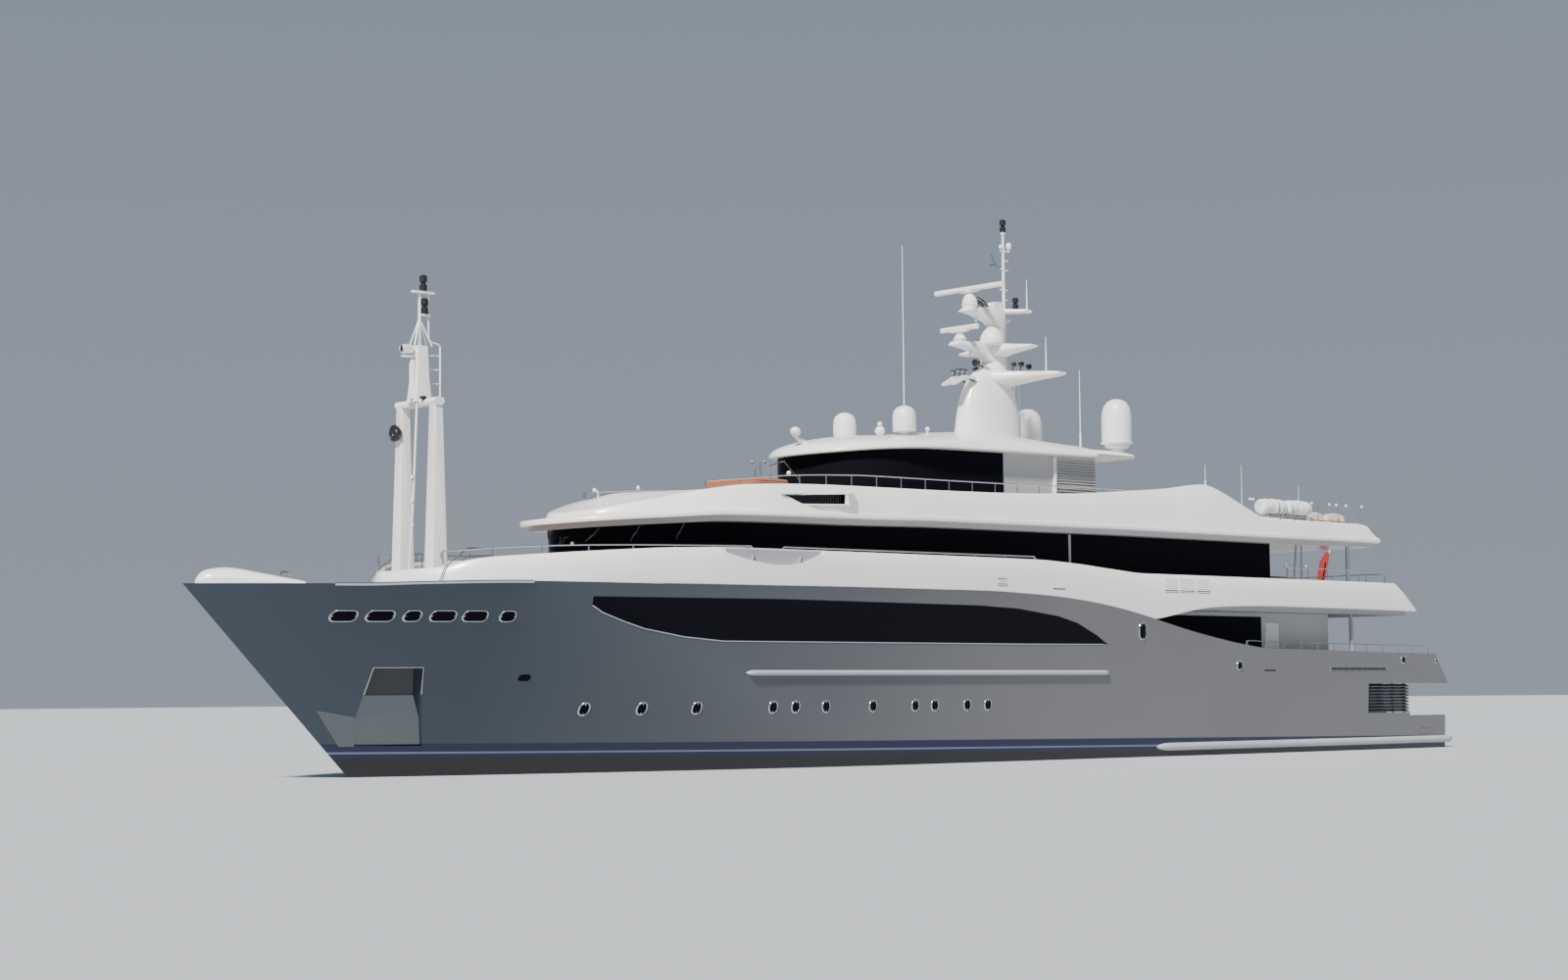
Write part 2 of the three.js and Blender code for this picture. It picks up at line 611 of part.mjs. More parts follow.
add('main_deckhouse', mainHouse(), 'softGrey')
addPair('main_window', box(-18.3, -10.6, MAIN_HOUSE.half + SEAT, MAIN_HOUSE.half + 0.03, 3.85, 5.68), 'blackGlass')

// a hinged leaf whose hinge barrels stand just outside the wall at its fore edge
function sideDoor() {
  const { fore, width, foot, top } = SIDE_DOOR
  const wall = MAIN_HOUSE.half
  const pinY = wall + 0.02
  let door = box(fore - width + DOOR_GAP, fore - DOOR_GAP, wall - 0.07, wall - DOOR_GAP, foot + DOOR_GAP, top - DOOR_GAP)
  for (const z of [foot + 0.3, top - 0.3]) {
    door = join(door,
      rod([fore, pinY, z - 0.09], [fore, pinY, z + 0.09], 0.02 - SEAT, 0.02 - SEAT, 16),
      box(fore - 0.28, fore, wall + 0.005, pinY + 0.01, z - 0.06, z + 0.06),
      box(fore - 0.28, fore - 0.06, wall - 0.02, pinY, z - 0.06, z + 0.06))
  }
  return door
}

addPair('side_door', sideDoor(), 'softGrey')

// fixed panes at each side of an aft opening, joined by a head rail and a sill
function aftScreen(wallX, { half, fixed, foot, top }) {
  const edge = half - SEAT
  const [low, high] = [foot + SEAT, top - SEAT]
  return join(
    bothSides(box(wallX + 0.05, wallX + 0.08, fixed, edge, low, high)),
    box(wallX + 0.03, wallX + 0.1, -edge, edge, low, low + 0.05),
    box(wallX + 0.03, wallX + 0.1, -edge, edge, high - 0.08, high))
}

// a sliding leaf outside the fixed pane, hung by two hangers from the deck above
function slidingLeaf(wallX, { fixed, foot, top }, track) {
  const [aft, fore] = [wallX - 0.06, wallX - DOOR_GAP]
  let leaf = box(aft, fore, 0.012, fixed + 0.05, foot, top + 0.05)
  for (const y of [0.25, fixed - 0.25]) leaf = join(leaf, box(aft + 0.01, fore - 0.01, y - 0.05, y + 0.05, top, track))
  return leaf
}

addPair('aft_door', slidingLeaf(MAIN_HOUSE.aft, AFT_OPENING, UPPER_SOFFIT), 'blackGlass')
add('aft_screen', aftScreen(MAIN_HOUSE.aft, AFT_OPENING), 'blackGlass')
add('main_deck', mainDeck(), 'teak')

// Upper deckhouse with its band of dark glass
const slabFoot = (x) => level(SUN_SHELL_FOOT, x) - 0.18
const UPPER_AFT_OPENING = { half: 2.6, fixed: 1.3, foot: 6.32, top: 8.4 }
const SUN_FOOT_STATIONS = SUN_SHELL_FOOT.map(([x]) => x)

function upperHouse() {
  const foot = UPPER_DECK + SEAT
  const top = (x) => slabFoot(x) - SEAT
  const wall = 0.14
  let house = outlineBlock(UPPER_HOUSE, foot, top, SUN_FOOT_STATIONS)
  const inside = { ...grown(UPPER_HOUSE, -wall), aft: UPPER_HOUSE.aft + wall }
  house = cut(house, outlineBlock(inside, foot - 1, (x) => top(x) - 0.08, SUN_FOOT_STATIONS))
  for (let i = 0; i < 8; i++) {
    const fore = 5.4 - i * 2.9
    house = cut(house, box(fore - 2.55, fore, -5, 5, 7.2, 8.45))
  }
  for (const y of [-2.05, 0, 2.05]) {
    house = cut(house, box(13, 18, y - 0.9, y + 0.9, 7.2, 8.1))
  }
  const { half, foot: sill, top: head } = UPPER_AFT_OPENING
  house = cut(house, box(UPPER_HOUSE.aft - 1, UPPER_HOUSE.aft + 1, -half, half, sill, head))
  return house
}

add('upper_deckhouse', upperHouse(), 'softGrey')

function glassBand(shape, foot, top, aft, thickness, ...stations) {
  const outer = { ...grown(shape, thickness), aft }
  const inner = { ...grown(shape, SEAT), aft: aft - 1 }
  return cut(outlineBlock(outer, foot, top, ...stations), outlineBlock(inner, 0, 20, ...stations))
}

add('upper_glass', glassBand(UPPER_HOUSE, 7.0, (x) => slabFoot(x) - SEAT, UPPER_HOUSE.aft + 0.02, 0.03,
  SUN_FOOT_STATIONS), 'blackGlass')
addPair('upper_aft_door', slidingLeaf(UPPER_HOUSE.aft, UPPER_AFT_OPENING, slabFoot(UPPER_HOUSE.aft) - SEAT),
  'blackGlass')
add('upper_aft_screen', aftScreen(UPPER_HOUSE.aft, UPPER_AFT_OPENING), 'blackGlass')

// Sun deck: a grey slab, then the white shell with its well
function sunSlab() {
  const shape = { ...grown(SUN_SHELL, -0.3), aft: SUN_SHELL.aft + 0.3 }
  const slab = outlineBlock(shape, slabFoot, (x) => level(SUN_SHELL_FOOT, x) - SEAT, SUN_FOOT_STATIONS)
  const pillar = rod([-23.7, 4.2, UPPER_DECK + SEAT], [-23.7, 4.2, 8.85], 0.09, 0.09, 12)
  return join(slab, bothSides(pillar))
}

add('sun_deck_slab', sunSlab(), 'softGrey')

function sunShell() {
  const marks = [...SUN_SHELL_TOP.map(([x]) => x), ...SUN_FOOT_STATIONS, ...noseStations(SUN_SHELL)]
  const rings = stationsBetween(SUN_SHELL.aft, SUN_SHELL.tip, marks).map((x) => {
    const edge = outlineHalf(SUN_SHELL, x) - (x < -18 ? 0.25 * (-18 - x) / 7.8 : 0)
    const [foot, top] = [level(SUN_SHELL_FOOT, x), level(SUN_SHELL_TOP, x)]
    const lean = Math.min(0.3 * (top - foot), 0.3 * edge)
    const crown = 0.05 * edge
    const half = [
      [edge * 0.97, foot], [edge, foot + 0.1], [edge - lean, top], [(edge - lean) * 0.5, top + crown],
    ]
    return [...half, ...half.map(([y, z]) => [-y, z]).reverse()].map(([y, z]) => [x, y, z])
  })
  const shell = loft(rings)
  const wellHalf = (x) => outlineHalf(SUN_SHELL, x) - 0.85
  return cut(shell, planBlock(-25.0, 12.4, wellHalf, SUN_DECK, 13, marks))
}

const sunDeckShell = sunShell()
add('sun_deck_shell', sunDeckShell, 'white')

// Sun deckhouse under the hardtop
function sunHouse() {
  const foot = SUN_DECK + SEAT
  const stations = HARDTOP_FOOT.map(([x]) => x)
  const top = (x) => level(HARDTOP_FOOT, x) - SEAT
  let house = outlineBlock(SUN_HOUSE, foot, top, stations)
  const inside = { ...grown(SUN_HOUSE, -0.12), aft: -8 }
  house = cut(house, outlineBlock(inside, foot - 1, (x) => top(x) - 0.1, stations))
  for (const [x0, x1] of [[-3.0, -1.2], [-1.0, 1.0]]) {
    house = cut(house, box(x0, x1, -5, 5, 10.2, 11.4))
  }
  house = cut(house, box(3, 7, -1.3, 1.3, 10.2, 11.3))
  house = cut(house, box(-9, -7, -1.0, 1.0, 9.15, 11.2))
  return house
}

add('sun_deckhouse', sunHouse(), 'softGrey')
add('sun_glass', glassBand(SUN_HOUSE, 9.9, (x) => level(HARDTOP_FOOT, x) - SEAT, -3.15, 0.03,
  HARDTOP_FOOT.map(([x]) => x)), 'blackGlass')

// Hardtop with the raised wing behind it
function hardtop() {
  const marks = [...HARDTOP_FOOT.map(([x]) => x), ...HARDTOP_CROWN.map(([x]) => x), ...noseStations(HARDTOP)]
  const rings = stationsBetween(HARDTOP.aft, HARDTOP.tip, marks).map((x) => {
    const edge = outlineHalf(HARDTOP, x)
    const [foot, crown] = [level(HARDTOP_FOOT, x), level(HARDTOP_CROWN, x)]
    const rise = crown - foot
    const half = [
      [edge * 0.95, foot], [edge, foot + rise * 0.2], [edge * 0.93, foot + rise * 0.5],
      [edge * 0.6, foot + rise * 0.86], [edge * 0.25, crown],
    ]
    return [...half, ...half.map(([y, z]) => [-y, z]).reverse()].map(([y, z]) => [x, y, z])
  })
  const wing = sideProfile([[-7.0, 12.1], [-11.4, 12.02], [-11.0, 12.25], [-10.2, 12.45], [-7.0, 12.55]], -3.1, 3.1)
  return join(loft(rings), wing)
}

add('hardtop', hardtop(), 'white')

// Domes on the hardtop: columns name, x, y, foot, radius, height
const DOMES = [
  ['dome_fore', 0.85, 1.65, 12.5, 0.45, 1.05],
  ['dome_aft', -10.6, 2.45, 12.45, 0.62, 2.05],
]

const hardtopRaised = moved(hardtop(), new THREE.Matrix4().makeTranslation(0, 0, SEAT))

for (const [name, x, y, foot, radius, height] of DOMES) {
  const seat = foot - 0.4 // the neck is cut to the roof's crown
  const top = foot + height
  const barrel = top - radius
  const dome = turned([
    [0, seat], [radius * 0.45, seat], [radius * 0.45, barrel - radius * 1.2], [radius * 0.92, barrel - radius],
    [radius, barrel - radius * 0.7], [radius, barrel], [radius * 0.87, barrel + radius * 0.5],
    [radius * 0.5, barrel + radius * 0.87], [0, top],
  ], x, y, 16)
  addPair(name, cut(dome, hardtopRaised), 'white')
}

// Main mast: a fin, its spreaders and platforms, and the pole
const SCANNERS = {
  upper: { x: -4.6, z: 18.65, length: 3.7 },
  lower: { x: -4.0, z: 17.0, length: 2.0 },
}

function mainMast() {
  // columns: z, fore end, aft end, half width
  const sections = [
    [12.4, -3.4, -7.25, 0.85], [13.2, -3.75, -7.15, 0.8], [14.2, -4.15, -7.0, 0.7], [15.2, -4.85, -6.8, 0.55],
    [15.8, -5.3, -6.6, 0.4], [18.4, -5.9, -6.5, 0.16],
  ]
  const rings = sections.map(([z, fore, aft, half]) => {
    const length = fore - aft
    const port = [[fore - length * 0.12, half * 0.6], [fore - length * 0.4, half], [aft + length * 0.15, half * 0.75]]
    const starboard = port.map(([x, y]) => [x, -y]).reverse()
    return [[fore, 0], ...port, [aft, 0], ...starboard].map(([x, y]) => [x, y, z])
  })
  const fin = loft(rings)
  const spreader = planProfile([[-4.9, 0], [-6.2, 2.4], [-7.3, 2.6], [-6.9, 0]], 15.05, 15.3)
  const highSpreader = planProfile([[-5.2, 0], [-6.2, 1.9], [-6.9, 2.0], [-6.6, 0]], 16.35, 16.5)
  const topSpreader = planProfile([[-5.7, 0], [-6.3, 1.0], [-6.8, 1.0], [-6.6, 0]], 17.85, 17.95)
  const lowerShelf = planProfile([[-3.5, -0.5], [-3.5, 0.5], [-5.7, 0.35], [-5.7, -0.35]], 16.4, 16.6)
  const upperShelf = planProfile([[-4.2, -0.4], [-4.2, 0.4], [-6.2, 0.3], [-6.2, -0.3]], 17.75, 17.9)
  const pedestals = join(
    rod([SCANNERS.lower.x, 0, 16.5], [SCANNERS.lower.x, 0, SCANNERS.lower.z - 0.12], 0.2, 0.16, 10),
    rod([SCANNERS.upper.x, 0, 17.8], [SCANNERS.upper.x, 0, SCANNERS.upper.z - 0.12], 0.26, 0.2, 10))
  const pole = join(
    rod([-6.6, 0, 14.6], [-6.6, 0, 21.2], 0.09, 0.05, 8),
    rod([-6.6, 0, 21.15], [-6.6, 0, 21.8], 0.09, 0.07, 8))
  return join(fin, bothSides(spreader), bothSides(highSpreader), bothSides(topSpreader), lowerShelf, upperShelf,
    pedestals, pole)
}

add('main_mast', cut(mainMast(), hardtopRaised), 'white')

function scanner({ x, z, length }) {
  const arm = crossProfile([[-length / 2, z], [length / 2, z], [length / 2 - 0.1, z + 0.22], [-length / 2 + 0.1, z + 0.22]],
    x - 0.14, x + 0.14)
  const hub = rod([x, 0, z - 0.12 + SEAT], [x, 0, z + 0.05], 0.14, 0.14, 10)
  return join(arm, hub)
}

add('scanner_upper', scanner(SCANNERS.upper), 'white')
add('scanner_lower', scanner(SCANNERS.lower), 'white')

// Forward mast: two legs, a crossbar, the upper box and a ladder
function foreMast() {
  const x = 22.1
  const foot = UPPER_DECK + SEAT
  const leg = loft([[foot, 0.36, 0.3], [12.3, 0.2, 0.2]].map(([z, length, half]) => [
    [x + length, 0.95 + half, z], [x - length, 0.95 + half, z], [x - length, 0.95 - half, z],
    [x + length, 0.95 - half, z],
  ]))
  const bar = box(x - 0.22, x + 0.22, -1.15, 1.15, 12.25, 12.5)
  const trunk = loft([[12.4, 0.34, 0.3], [14.3, 0.24, 0.2]].map(([z, length, half]) => [
    [x + length, half, z], [x - length, half, z], [x - length, -half, z], [x + length, -half, z],
  ]))
  const top = join(
    rod([x, 0, 14.2], [x, 0, 16.7], 0.06, 0.06, 8),
    box(x - 0.4, x + 0.3, -0.3, 0.3, 14.25, 14.35),
    rod([x, 0, 15.9], [x, 0, 16.75], 0.14, 0.14, 8))
  let ladder = bothSides(rod([x - 0.75, 0.2, 12.4], [x - 0.75, 0.2, 14.4], 0.035, 0.035, 6))
  for (const z of [12.55, 13.15, 13.75, 14.33]) {
    ladder = join(ladder, rod([x - 0.75, -0.22, z], [x - 0.75, 0.22, z], 0.03, 0.03, 6))
  }
  for (const z of [12.55, 14.33]) {
    ladder = join(ladder, rod([x, 0.2, z], [x - 0.76, 0.2, z], 0.03, 0.03, 6))
  }
  return join(bothSides(leg), bar, trunk, top, ladder)
}

add('fore_mast', foreMast(), 'white')

// Bow fairing: a white moulding over the stem head
function bowFairing() {
  // columns: x, half width, top
  const sections = [[27.7, 2.1, 6.3], [28.6, 1.5, 6.55], [29.5, 0.85, 6.7], [30.2, 0.4, 6.6], [30.5, 0.12, 6.35]]
  const rings = sections.map(([x, half, top]) => {
    const foot = level(SHEER, x) + SEAT
    return [[x, half, foot], [x, half * 0.85, top - 0.03], [x, 0, top], [x, -half * 0.85, top - 0.03], [x, -half, foot]]
  })
  return loft(rings)
}

add('bow_fairing', bowFairing(), 'white')

// Windlasses on the mooring deck
function windlasses() {
  const [x, y, deck] = [26.0, 0.85, MOORING_DECK + 0.04 + SEAT]
  const drum = turned([[0, deck + 0.1], [0.34, deck + 0.1], [0.34, deck + 0.3], [0.2, deck + 0.4], [0.2, deck + 0.6],
    [0.3, deck + 0.75], [0, deck + 0.78]], x, y, 14)
  return join(box(x - 0.45, x + 0.45, -y - 0.4, y + 0.4, deck, deck + 0.16), bothSides(drum))
}

add('windlasses', windlasses(), 'steel')

// Propellers, shafts and their brackets
function propeller() {
  const hubTurn = new THREE.Matrix4().makeRotationY(-Math.atan(SHAFT_SLOPE))
  hubTurn.setPosition(PROPELLER_X, SHAFT_Y, PROPELLER_Z)
  let wheel = rod([-0.42, 0, 0], [0.3, 0, 0], 0.1, 0.24, 12)
  const outline = [
    [0.15, -0.12], [0.45, -0.26], [0.8, -0.33], [1.0, -0.2], [PROPELLER_RADIUS, 0], [1.0, 0.2], [0.8, 0.33],
    [0.45, 0.26], [0.15, 0.12],
  ]
  for (let k = 0; k < 5; k++) {
    const shape = new THREE.Shape(outline.map(([a, b]) => new THREE.Vector2(a, b)))
    const blade = new THREE.ExtrudeGeometry(shape, { depth: 0.06, bevelEnabled: false })
    const position = blade.attributes.position
    for (let i = 0; i < position.count; i++) {
      const [r, chord, t] = [position.getX(i), position.getY(i), position.getZ(i) - 0.03]
      const pitch = Math.atan(1.5 / (2 * Math.PI * r))
      const along = chord * Math.sin(pitch) + t * Math.cos(pitch)
      const around = chord * Math.cos(pitch) - t * Math.sin(pitch)
      const turn = 2 * Math.PI * k / 5
      position.setXYZ(i, along, r * Math.cos(turn) - around * Math.sin(turn),
        r * Math.sin(turn) + around * Math.cos(turn))
    }
    wheel = join(wheel, toSolid(blade))
  }
  return moved(wheel, hubTurn)
}

const at = (x) => [x, SHAFT_Y, shaftZ(x)]
addPair('propeller', propeller(), 'bronze')
addPair('shaft', rod(at(PROPELLER_X + 0.3 + SEAT), at(BOSSING_END_X - SEAT), SHAFT_RADIUS, SHAFT_RADIUS, 12), 'steel')

function bracket() {
  const barrel = rod(at(BRACKET_X - 0.4), at(BRACKET_X + 0.4), 0.22, 0.22, 12)
  const bore = rod(at(BRACKET_X - 1), at(BRACKET_X + 1), SHAFT_RADIUS * 1.06, SHAFT_RADIUS * 1.06, 12)
  const strut = (y) => loft([[shaftZ(BRACKET_X), SHAFT_Y + Math.sign(y - SHAFT_Y) * 0.12], [0.2, y]].map(
    ([z, middle]) => [[BRACKET_X + 0.25, middle - 0.05, z], [BRACKET_X + 0.25, middle + 0.05, z],
      [BRACKET_X - 0.25, middle + 0.05, z], [BRACKET_X - 0.25, middle - 0.05, z]]))
  const rough = join(barrel, strut(1.3), strut(3.1))
  return cut(rough, bore, hullForm(SEAT))
}

addPair('bracket', bracket(), 'antifouling')

// Rudders turn on an upright stock, fins on the tilted one
function foil(sections) {
  // columns: z, leading edge, trailing edge, half thickness
  return loft(sections.map(([z, lead, trail, half]) => {
    const chord = lead - trail
    return [
      [lead, 0], [lead - chord * 0.1, half * 0.75], [lead - chord * 0.35, half], [trail, 0.01],
      [trail, -0.01], [lead - chord * 0.35, -half], [lead - chord * 0.1, -half * 0.75],
    ].map(([x, y]) => [x, y, z])
  }))
}

function rudder() {
  const blade = foil([[RUDDER_FOOT, 0.4, -0.75, 0.1], [RUDDER_TOP - 0.12, 0.5, -1.0, 0.14]])
  const stock = rod([0, 0, RUDDER_TOP - 0.3], [0, 0, RUDDER_TOP - SEAT], 0.13, 0.13, 12)
  return moved(join(blade, stock), new THREE.Matrix4().makeTranslation(RUDDER_X, SHAFT_Y, 0))
}

addPair('rudder', rudder(), 'antifouling')

function fin() {
  const blade = foil([[-1.55, 0.45, -0.75, 0.08], [-0.1, 0.65, -1.05, 0.15]])
  const stock = rod([0, 0, -0.2], [0, 0, -SEAT], 0.2, 0.2, 12)
  return moved(join(blade, stock), finFrame())
}

addPair('stabiliser_fin', fin(), 'antifouling')

// Life rafts in their cradles on the sun deck's coaming
function lifeRafts() {
  const [y, foot, half] = [4.28, 9.82, 0.22]
  let set = join(
    box(-20.9, -17.4, y - half, y - half + 0.07, foot, foot + 0.16),
    box(-20.9, -17.4, y + half - 0.07, y + half, foot, foot + 0.16))
  for (const x of [-18.3, -20.0]) {
    set = join(set,
      box(x - 0.5, x - 0.42, y - half, y + half, foot, foot + 0.2),
      box(x + 0.42, x + 0.5, y - half, y + half, foot, foot + 0.2),
      rod([x - 0.8, y, foot + 0.46], [x + 0.8, y, foot + 0.46], 0.33, 0.33, 14))
  }
  return cut(set, moved(sunDeckShell, new THREE.Matrix4().makeTranslation(0, 0, SEAT)))
}

addPair('life_rafts', lifeRafts(), 'white')

// Ensign on its staff at the aft end of the upper deck
const staff = join(
  box(-27.42, -27.18, -0.12, 0.12, UPPER_DECK + SEAT, 6.4),
  rod([-27.3, 0, 6.3], [-28.2, 0, 9.1], 0.04, 0.03, 8))
add('ensign_staff', staff, 'white')

export default yacht
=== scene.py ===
"""A four-deck motor yacht of 62 m, dressed on its packed half size model.

Lengths in this file are metres of the real yacht unless a name says otherwise; SCALE takes
them to the model. +X is the bow, +Y is port, +Z is up, and the water lies at z = 0.
"""

import math

import bmesh
import bpy
import numpy as np
from mathutils import Matrix, Vector


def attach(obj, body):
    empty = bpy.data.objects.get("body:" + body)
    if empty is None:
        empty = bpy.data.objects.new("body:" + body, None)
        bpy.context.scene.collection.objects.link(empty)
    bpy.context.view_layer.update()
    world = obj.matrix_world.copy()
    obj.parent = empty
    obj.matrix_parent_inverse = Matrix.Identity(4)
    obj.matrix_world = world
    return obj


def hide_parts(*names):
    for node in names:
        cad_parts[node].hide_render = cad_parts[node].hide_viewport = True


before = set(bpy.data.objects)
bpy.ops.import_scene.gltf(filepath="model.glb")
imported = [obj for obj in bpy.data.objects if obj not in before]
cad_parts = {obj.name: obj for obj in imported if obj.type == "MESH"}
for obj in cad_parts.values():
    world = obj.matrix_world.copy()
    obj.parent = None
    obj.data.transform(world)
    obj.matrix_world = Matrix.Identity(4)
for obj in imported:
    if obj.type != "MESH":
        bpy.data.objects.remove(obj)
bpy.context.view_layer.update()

SCALE = 0.5  # model metres for each metre of the yacht
SHIP = "ship"

# The studio
# A pale floor at the waterline, a soft sun high over the port bow and a plain pale sky. The
# camera stands low off the port bow with the long lens that the photograph was taken with.

CAMERA_PLACE = (74.777, 75.475, 2.413)
CAMERA_RIGHT = (-0.73767, 0.67510, -0.00910)
CAMERA_UP = (0.04457, 0.06213, 0.99707)
CAMERA_BACK = (0.67369, 0.73511, -0.07592)
LENS_MM = 63.0
FLOOR_HALF = 900.0
SUN_FROM = Vector((0.62, 0.30, 0.72))
SUN_STRENGTH, SKY_STRENGTH = 8.2, 0.62
SKY_COLOURS = ((0.50, 0.56, 0.66, 1), (0.27, 0.37, 0.55, 1))  # at the horizon and overhead


def place_camera():
    data = bpy.data.cameras.new("camera")
    data.sensor_width = 36.0
    data.lens = LENS_MM
    data.clip_end = 2000.0
    camera = bpy.data.objects.new("camera", data)
    bpy.context.scene.collection.objects.link(camera)
    turn = Matrix((CAMERA_RIGHT, CAMERA_UP, CAMERA_BACK)).transposed().to_4x4()
    camera.matrix_world = Matrix.Translation(Vector(CAMERA_PLACE) * SCALE) @ turn
    bpy.context.scene.camera = camera


def add_node(tree, kind, **values):
    """A node of a tree, with some of its inputs set."""
    node = tree.nodes.new(kind)
    for label, value in values.items():
        node.inputs[label.replace("_", " ")].default_value = value
    return node


def connect(tree, *links):
    """Links, each given as a node and its output, then a node and its input."""
    for source, out, target, into in links:
        tree.links.new(source.outputs[out], target.inputs[into])


def new_material(name, **values):
    """A material, its tree and its shader, with some of the shader's inputs set."""
    material = bpy.data.materials.new(name)
    material.use_nodes = True
    shader = material.node_tree.nodes["Principled BSDF"]
    for label, value in values.items():
        shader.inputs[label.replace("_", " ")].default_value = value
    return material, material.node_tree, shader


def light_studio():
    sun = bpy.data.lights.new("sun", "SUN")
    sun.energy = SUN_STRENGTH
    sun.angle = math.radians(6)
    sun.color = (1.0, 0.96, 0.9)
    lamp = bpy.data.objects.new("sun", sun)
    bpy.context.scene.collection.objects.link(lamp)
    lamp.rotation_euler = SUN_FROM.to_track_quat("Z", "Y").to_euler()
    world = bpy.data.worlds.new("studio")
    bpy.context.scene.world = world
    world.use_nodes = True
    tree = world.node_tree
    # paler near the horizon, a little bluer overhead
    place = add_node(tree, "ShaderNodeTexCoord")
    split = add_node(tree, "ShaderNodeSeparateXYZ")
    ramp = add_node(tree, "ShaderNodeValToRGB")
    for element, position, colour in zip(ramp.color_ramp.elements, (0.0, 0.6), SKY_COLOURS):
        element.position = position
        element.color = colour
    background = tree.nodes["Background"]
    connect(tree, (place, "Generated", split, 0), (split, "Z", ramp, 0), (ramp, 0, background, "Color"))
    background.inputs["Strength"].default_value = SKY_STRENGTH


def lay_floor():
    mesh = bpy.data.meshes.new("floor")
    corners = [(-1, -1), (1, -1), (1, 1), (-1, 1)]
    mesh.from_pydata([(x * FLOOR_HALF, y * FLOOR_HALF, 0.0) for x, y in corners], [], [(0, 1, 2, 3)])
    floor = bpy.data.objects.new("floor", mesh)
    bpy.context.scene.collection.objects.link(floor)
    mesh.materials.append(new_material("floor_pale", Base_Color=(0.44, 0.47, 0.50, 1), Roughness=0.85)[0])


place_camera()
light_studio()
lay_floor()

# The hull
# Welded steel, faired and sprayed in a grey metallic gloss, with a navy boot top, a thin pale
# line and dark antifouling. Towards the flared bow the grey darkens into a dark blue painted
# shade. One smooth skin is lofted from the hull's lines, then the deck wells, the stern notch,
# the garage, the stairs and the pockets are cut out of it.

BOW_X, BOW_Z, STEM_FOOT_X = 31.0, 6.17, 24.9
HALF_BEAM, WATERLINE_HALF_BEAM = 5.2, 4.95
CANOE_DEPTH, TRANSOM_DEPTH, KEEL_DEPTH = 2.6, 0.25, 3.25
RIM = 0.35
MAIN_DECK, MOORING_DECK, UPPER_SOFFIT, UPPER_DECK, SUN_DECK = 3.3, 4.75, 5.85, 6.2, 9.05
PLATFORM, PLATFORM_WALL, OVERHANG_SOFFIT = 0.55, 1.45, 2.85
TRANSOM_X, HULL_END_X, OVERHANG_END_X = -27.35, -30.25, -30.48
SIDE_DECK_X = -9.63  # aft of this the main deck has side decks
DECK_FRONT_X = 23.6
STAIR_TOP_X, STAIR_INNER, STAIR_OUTER, STAIR_STEPS = -24.2, 3.3, 4.3, 10
GARAGE_FORE, GARAGE_HALF, GARAGE_FLOOR, GARAGE_TOP = -23.4, 2.9, 0.65, 2.7
LOUVRE_FORE, LOUVRE_FOOT = -24.1, 1.58
SHEER = [
    (31.0, 6.17), (26.4, 6.15), (24.8, 6.2), (21.3, 6.28), (14.9, 6.3), (5.6, 6.35), (0.5, 6.35),
    (-2.7, 6.26), (-4.9, 6.12), (-7.2, 5.85), (SIDE_DECK_X, 5.42), (-11.5, 5.05), (-13.2, 4.76),
    (-15.1, 4.49), (-17.0, 4.32), (-20.4, 4.28), (-24.1, 4.22), (-29.1, 4.16), (-31.5, 4.12),
]
# outlines of x and z, anticlockwise seen from port
HULL_WINDOW = [
    (18.75, 5.54), (18.75, 5.8), (10.4, 5.86), (0.55, 5.8), (-1.6, 5.71), (-3.8, 5.46), (-4.9, 5.21),
    (-6.0, 4.77), (-6.65, 4.43), (13.2, 4.42), (14.9, 4.55), (16.6, 4.81), (17.4, 5.03), (18.3, 5.32),
]
POCKET = [(25.16, 3.54), (23.7, 3.54), (23.45, 2.65), (22.91, 1.0), (25.05, 1.03), (25.17, 1.92),
        (25.15, 2.67)]
GLASS_DEPTH = 0.06
# a dark blue painted shade that the hull's grey darkens into towards the flared bow
BOW_PAINTED_SHADE = (0.032, 0.048, 0.066, 1)
WATERLINE_BANDS = (  # top of the band in model metres, colour
    (0.19, (0.012, 0.011, 0.014)), (0.255, (0.006, 0.012, 0.05)), (0.285, (0.16, 0.19, 0.26)),
    (0.42, (0.006, 0.012, 0.05)),
)


def fair(table):
    """A smooth curve through rows of x and height that doesn't overshoot them."""
    x, z = np.array(sorted(table), float).T
    slope = np.diff(z) / np.diff(x)
    tangent = np.zeros_like(z)
    same = slope[:-1] * slope[1:] > 0
    tangent[1:-1][same] = 2 / (1 / slope[:-1][same] + 1 / slope[1:][same])
    tangent[0], tangent[-1] = slope[0], slope[-1]

    def height(at):
        at = np.clip(at, x[0], x[-1])
        i = np.clip(np.searchsorted(x, at, side="right") - 1, 0, len(slope) - 1)
        width = x[i + 1] - x[i]
        t = (at - x[i]) / width
        return (z[i] * (1 + 2 * t) * (1 - t) ** 2 + z[i + 1] * t * t * (3 - 2 * t)
                + width * t * (1 - t) * (tangent[i] * (1 - t) - tangent[i + 1] * t))

    return height


sheer = fair(SHEER)


def stem_x(z):
    return STEM_FOOT_X + (BOW_X - STEM_FOOT_X) * z / BOW_Z


def keel_z(x):
    if x > STEM_FOOT_X:
        return BOW_Z * (x - STEM_FOOT_X) / (BOW_X - STEM_FOOT_X)
    if x > 15:
        return -CANOE_DEPTH * (1 - ((x - 15) / (STEM_FOOT_X - 15)) ** 3)
    if x > -8:
        return -CANOE_DEPTH
    return -CANOE_DEPTH + (CANOE_DEPTH - TRANSOM_DEPTH) * ((-8 - x) / 23) ** 1.3


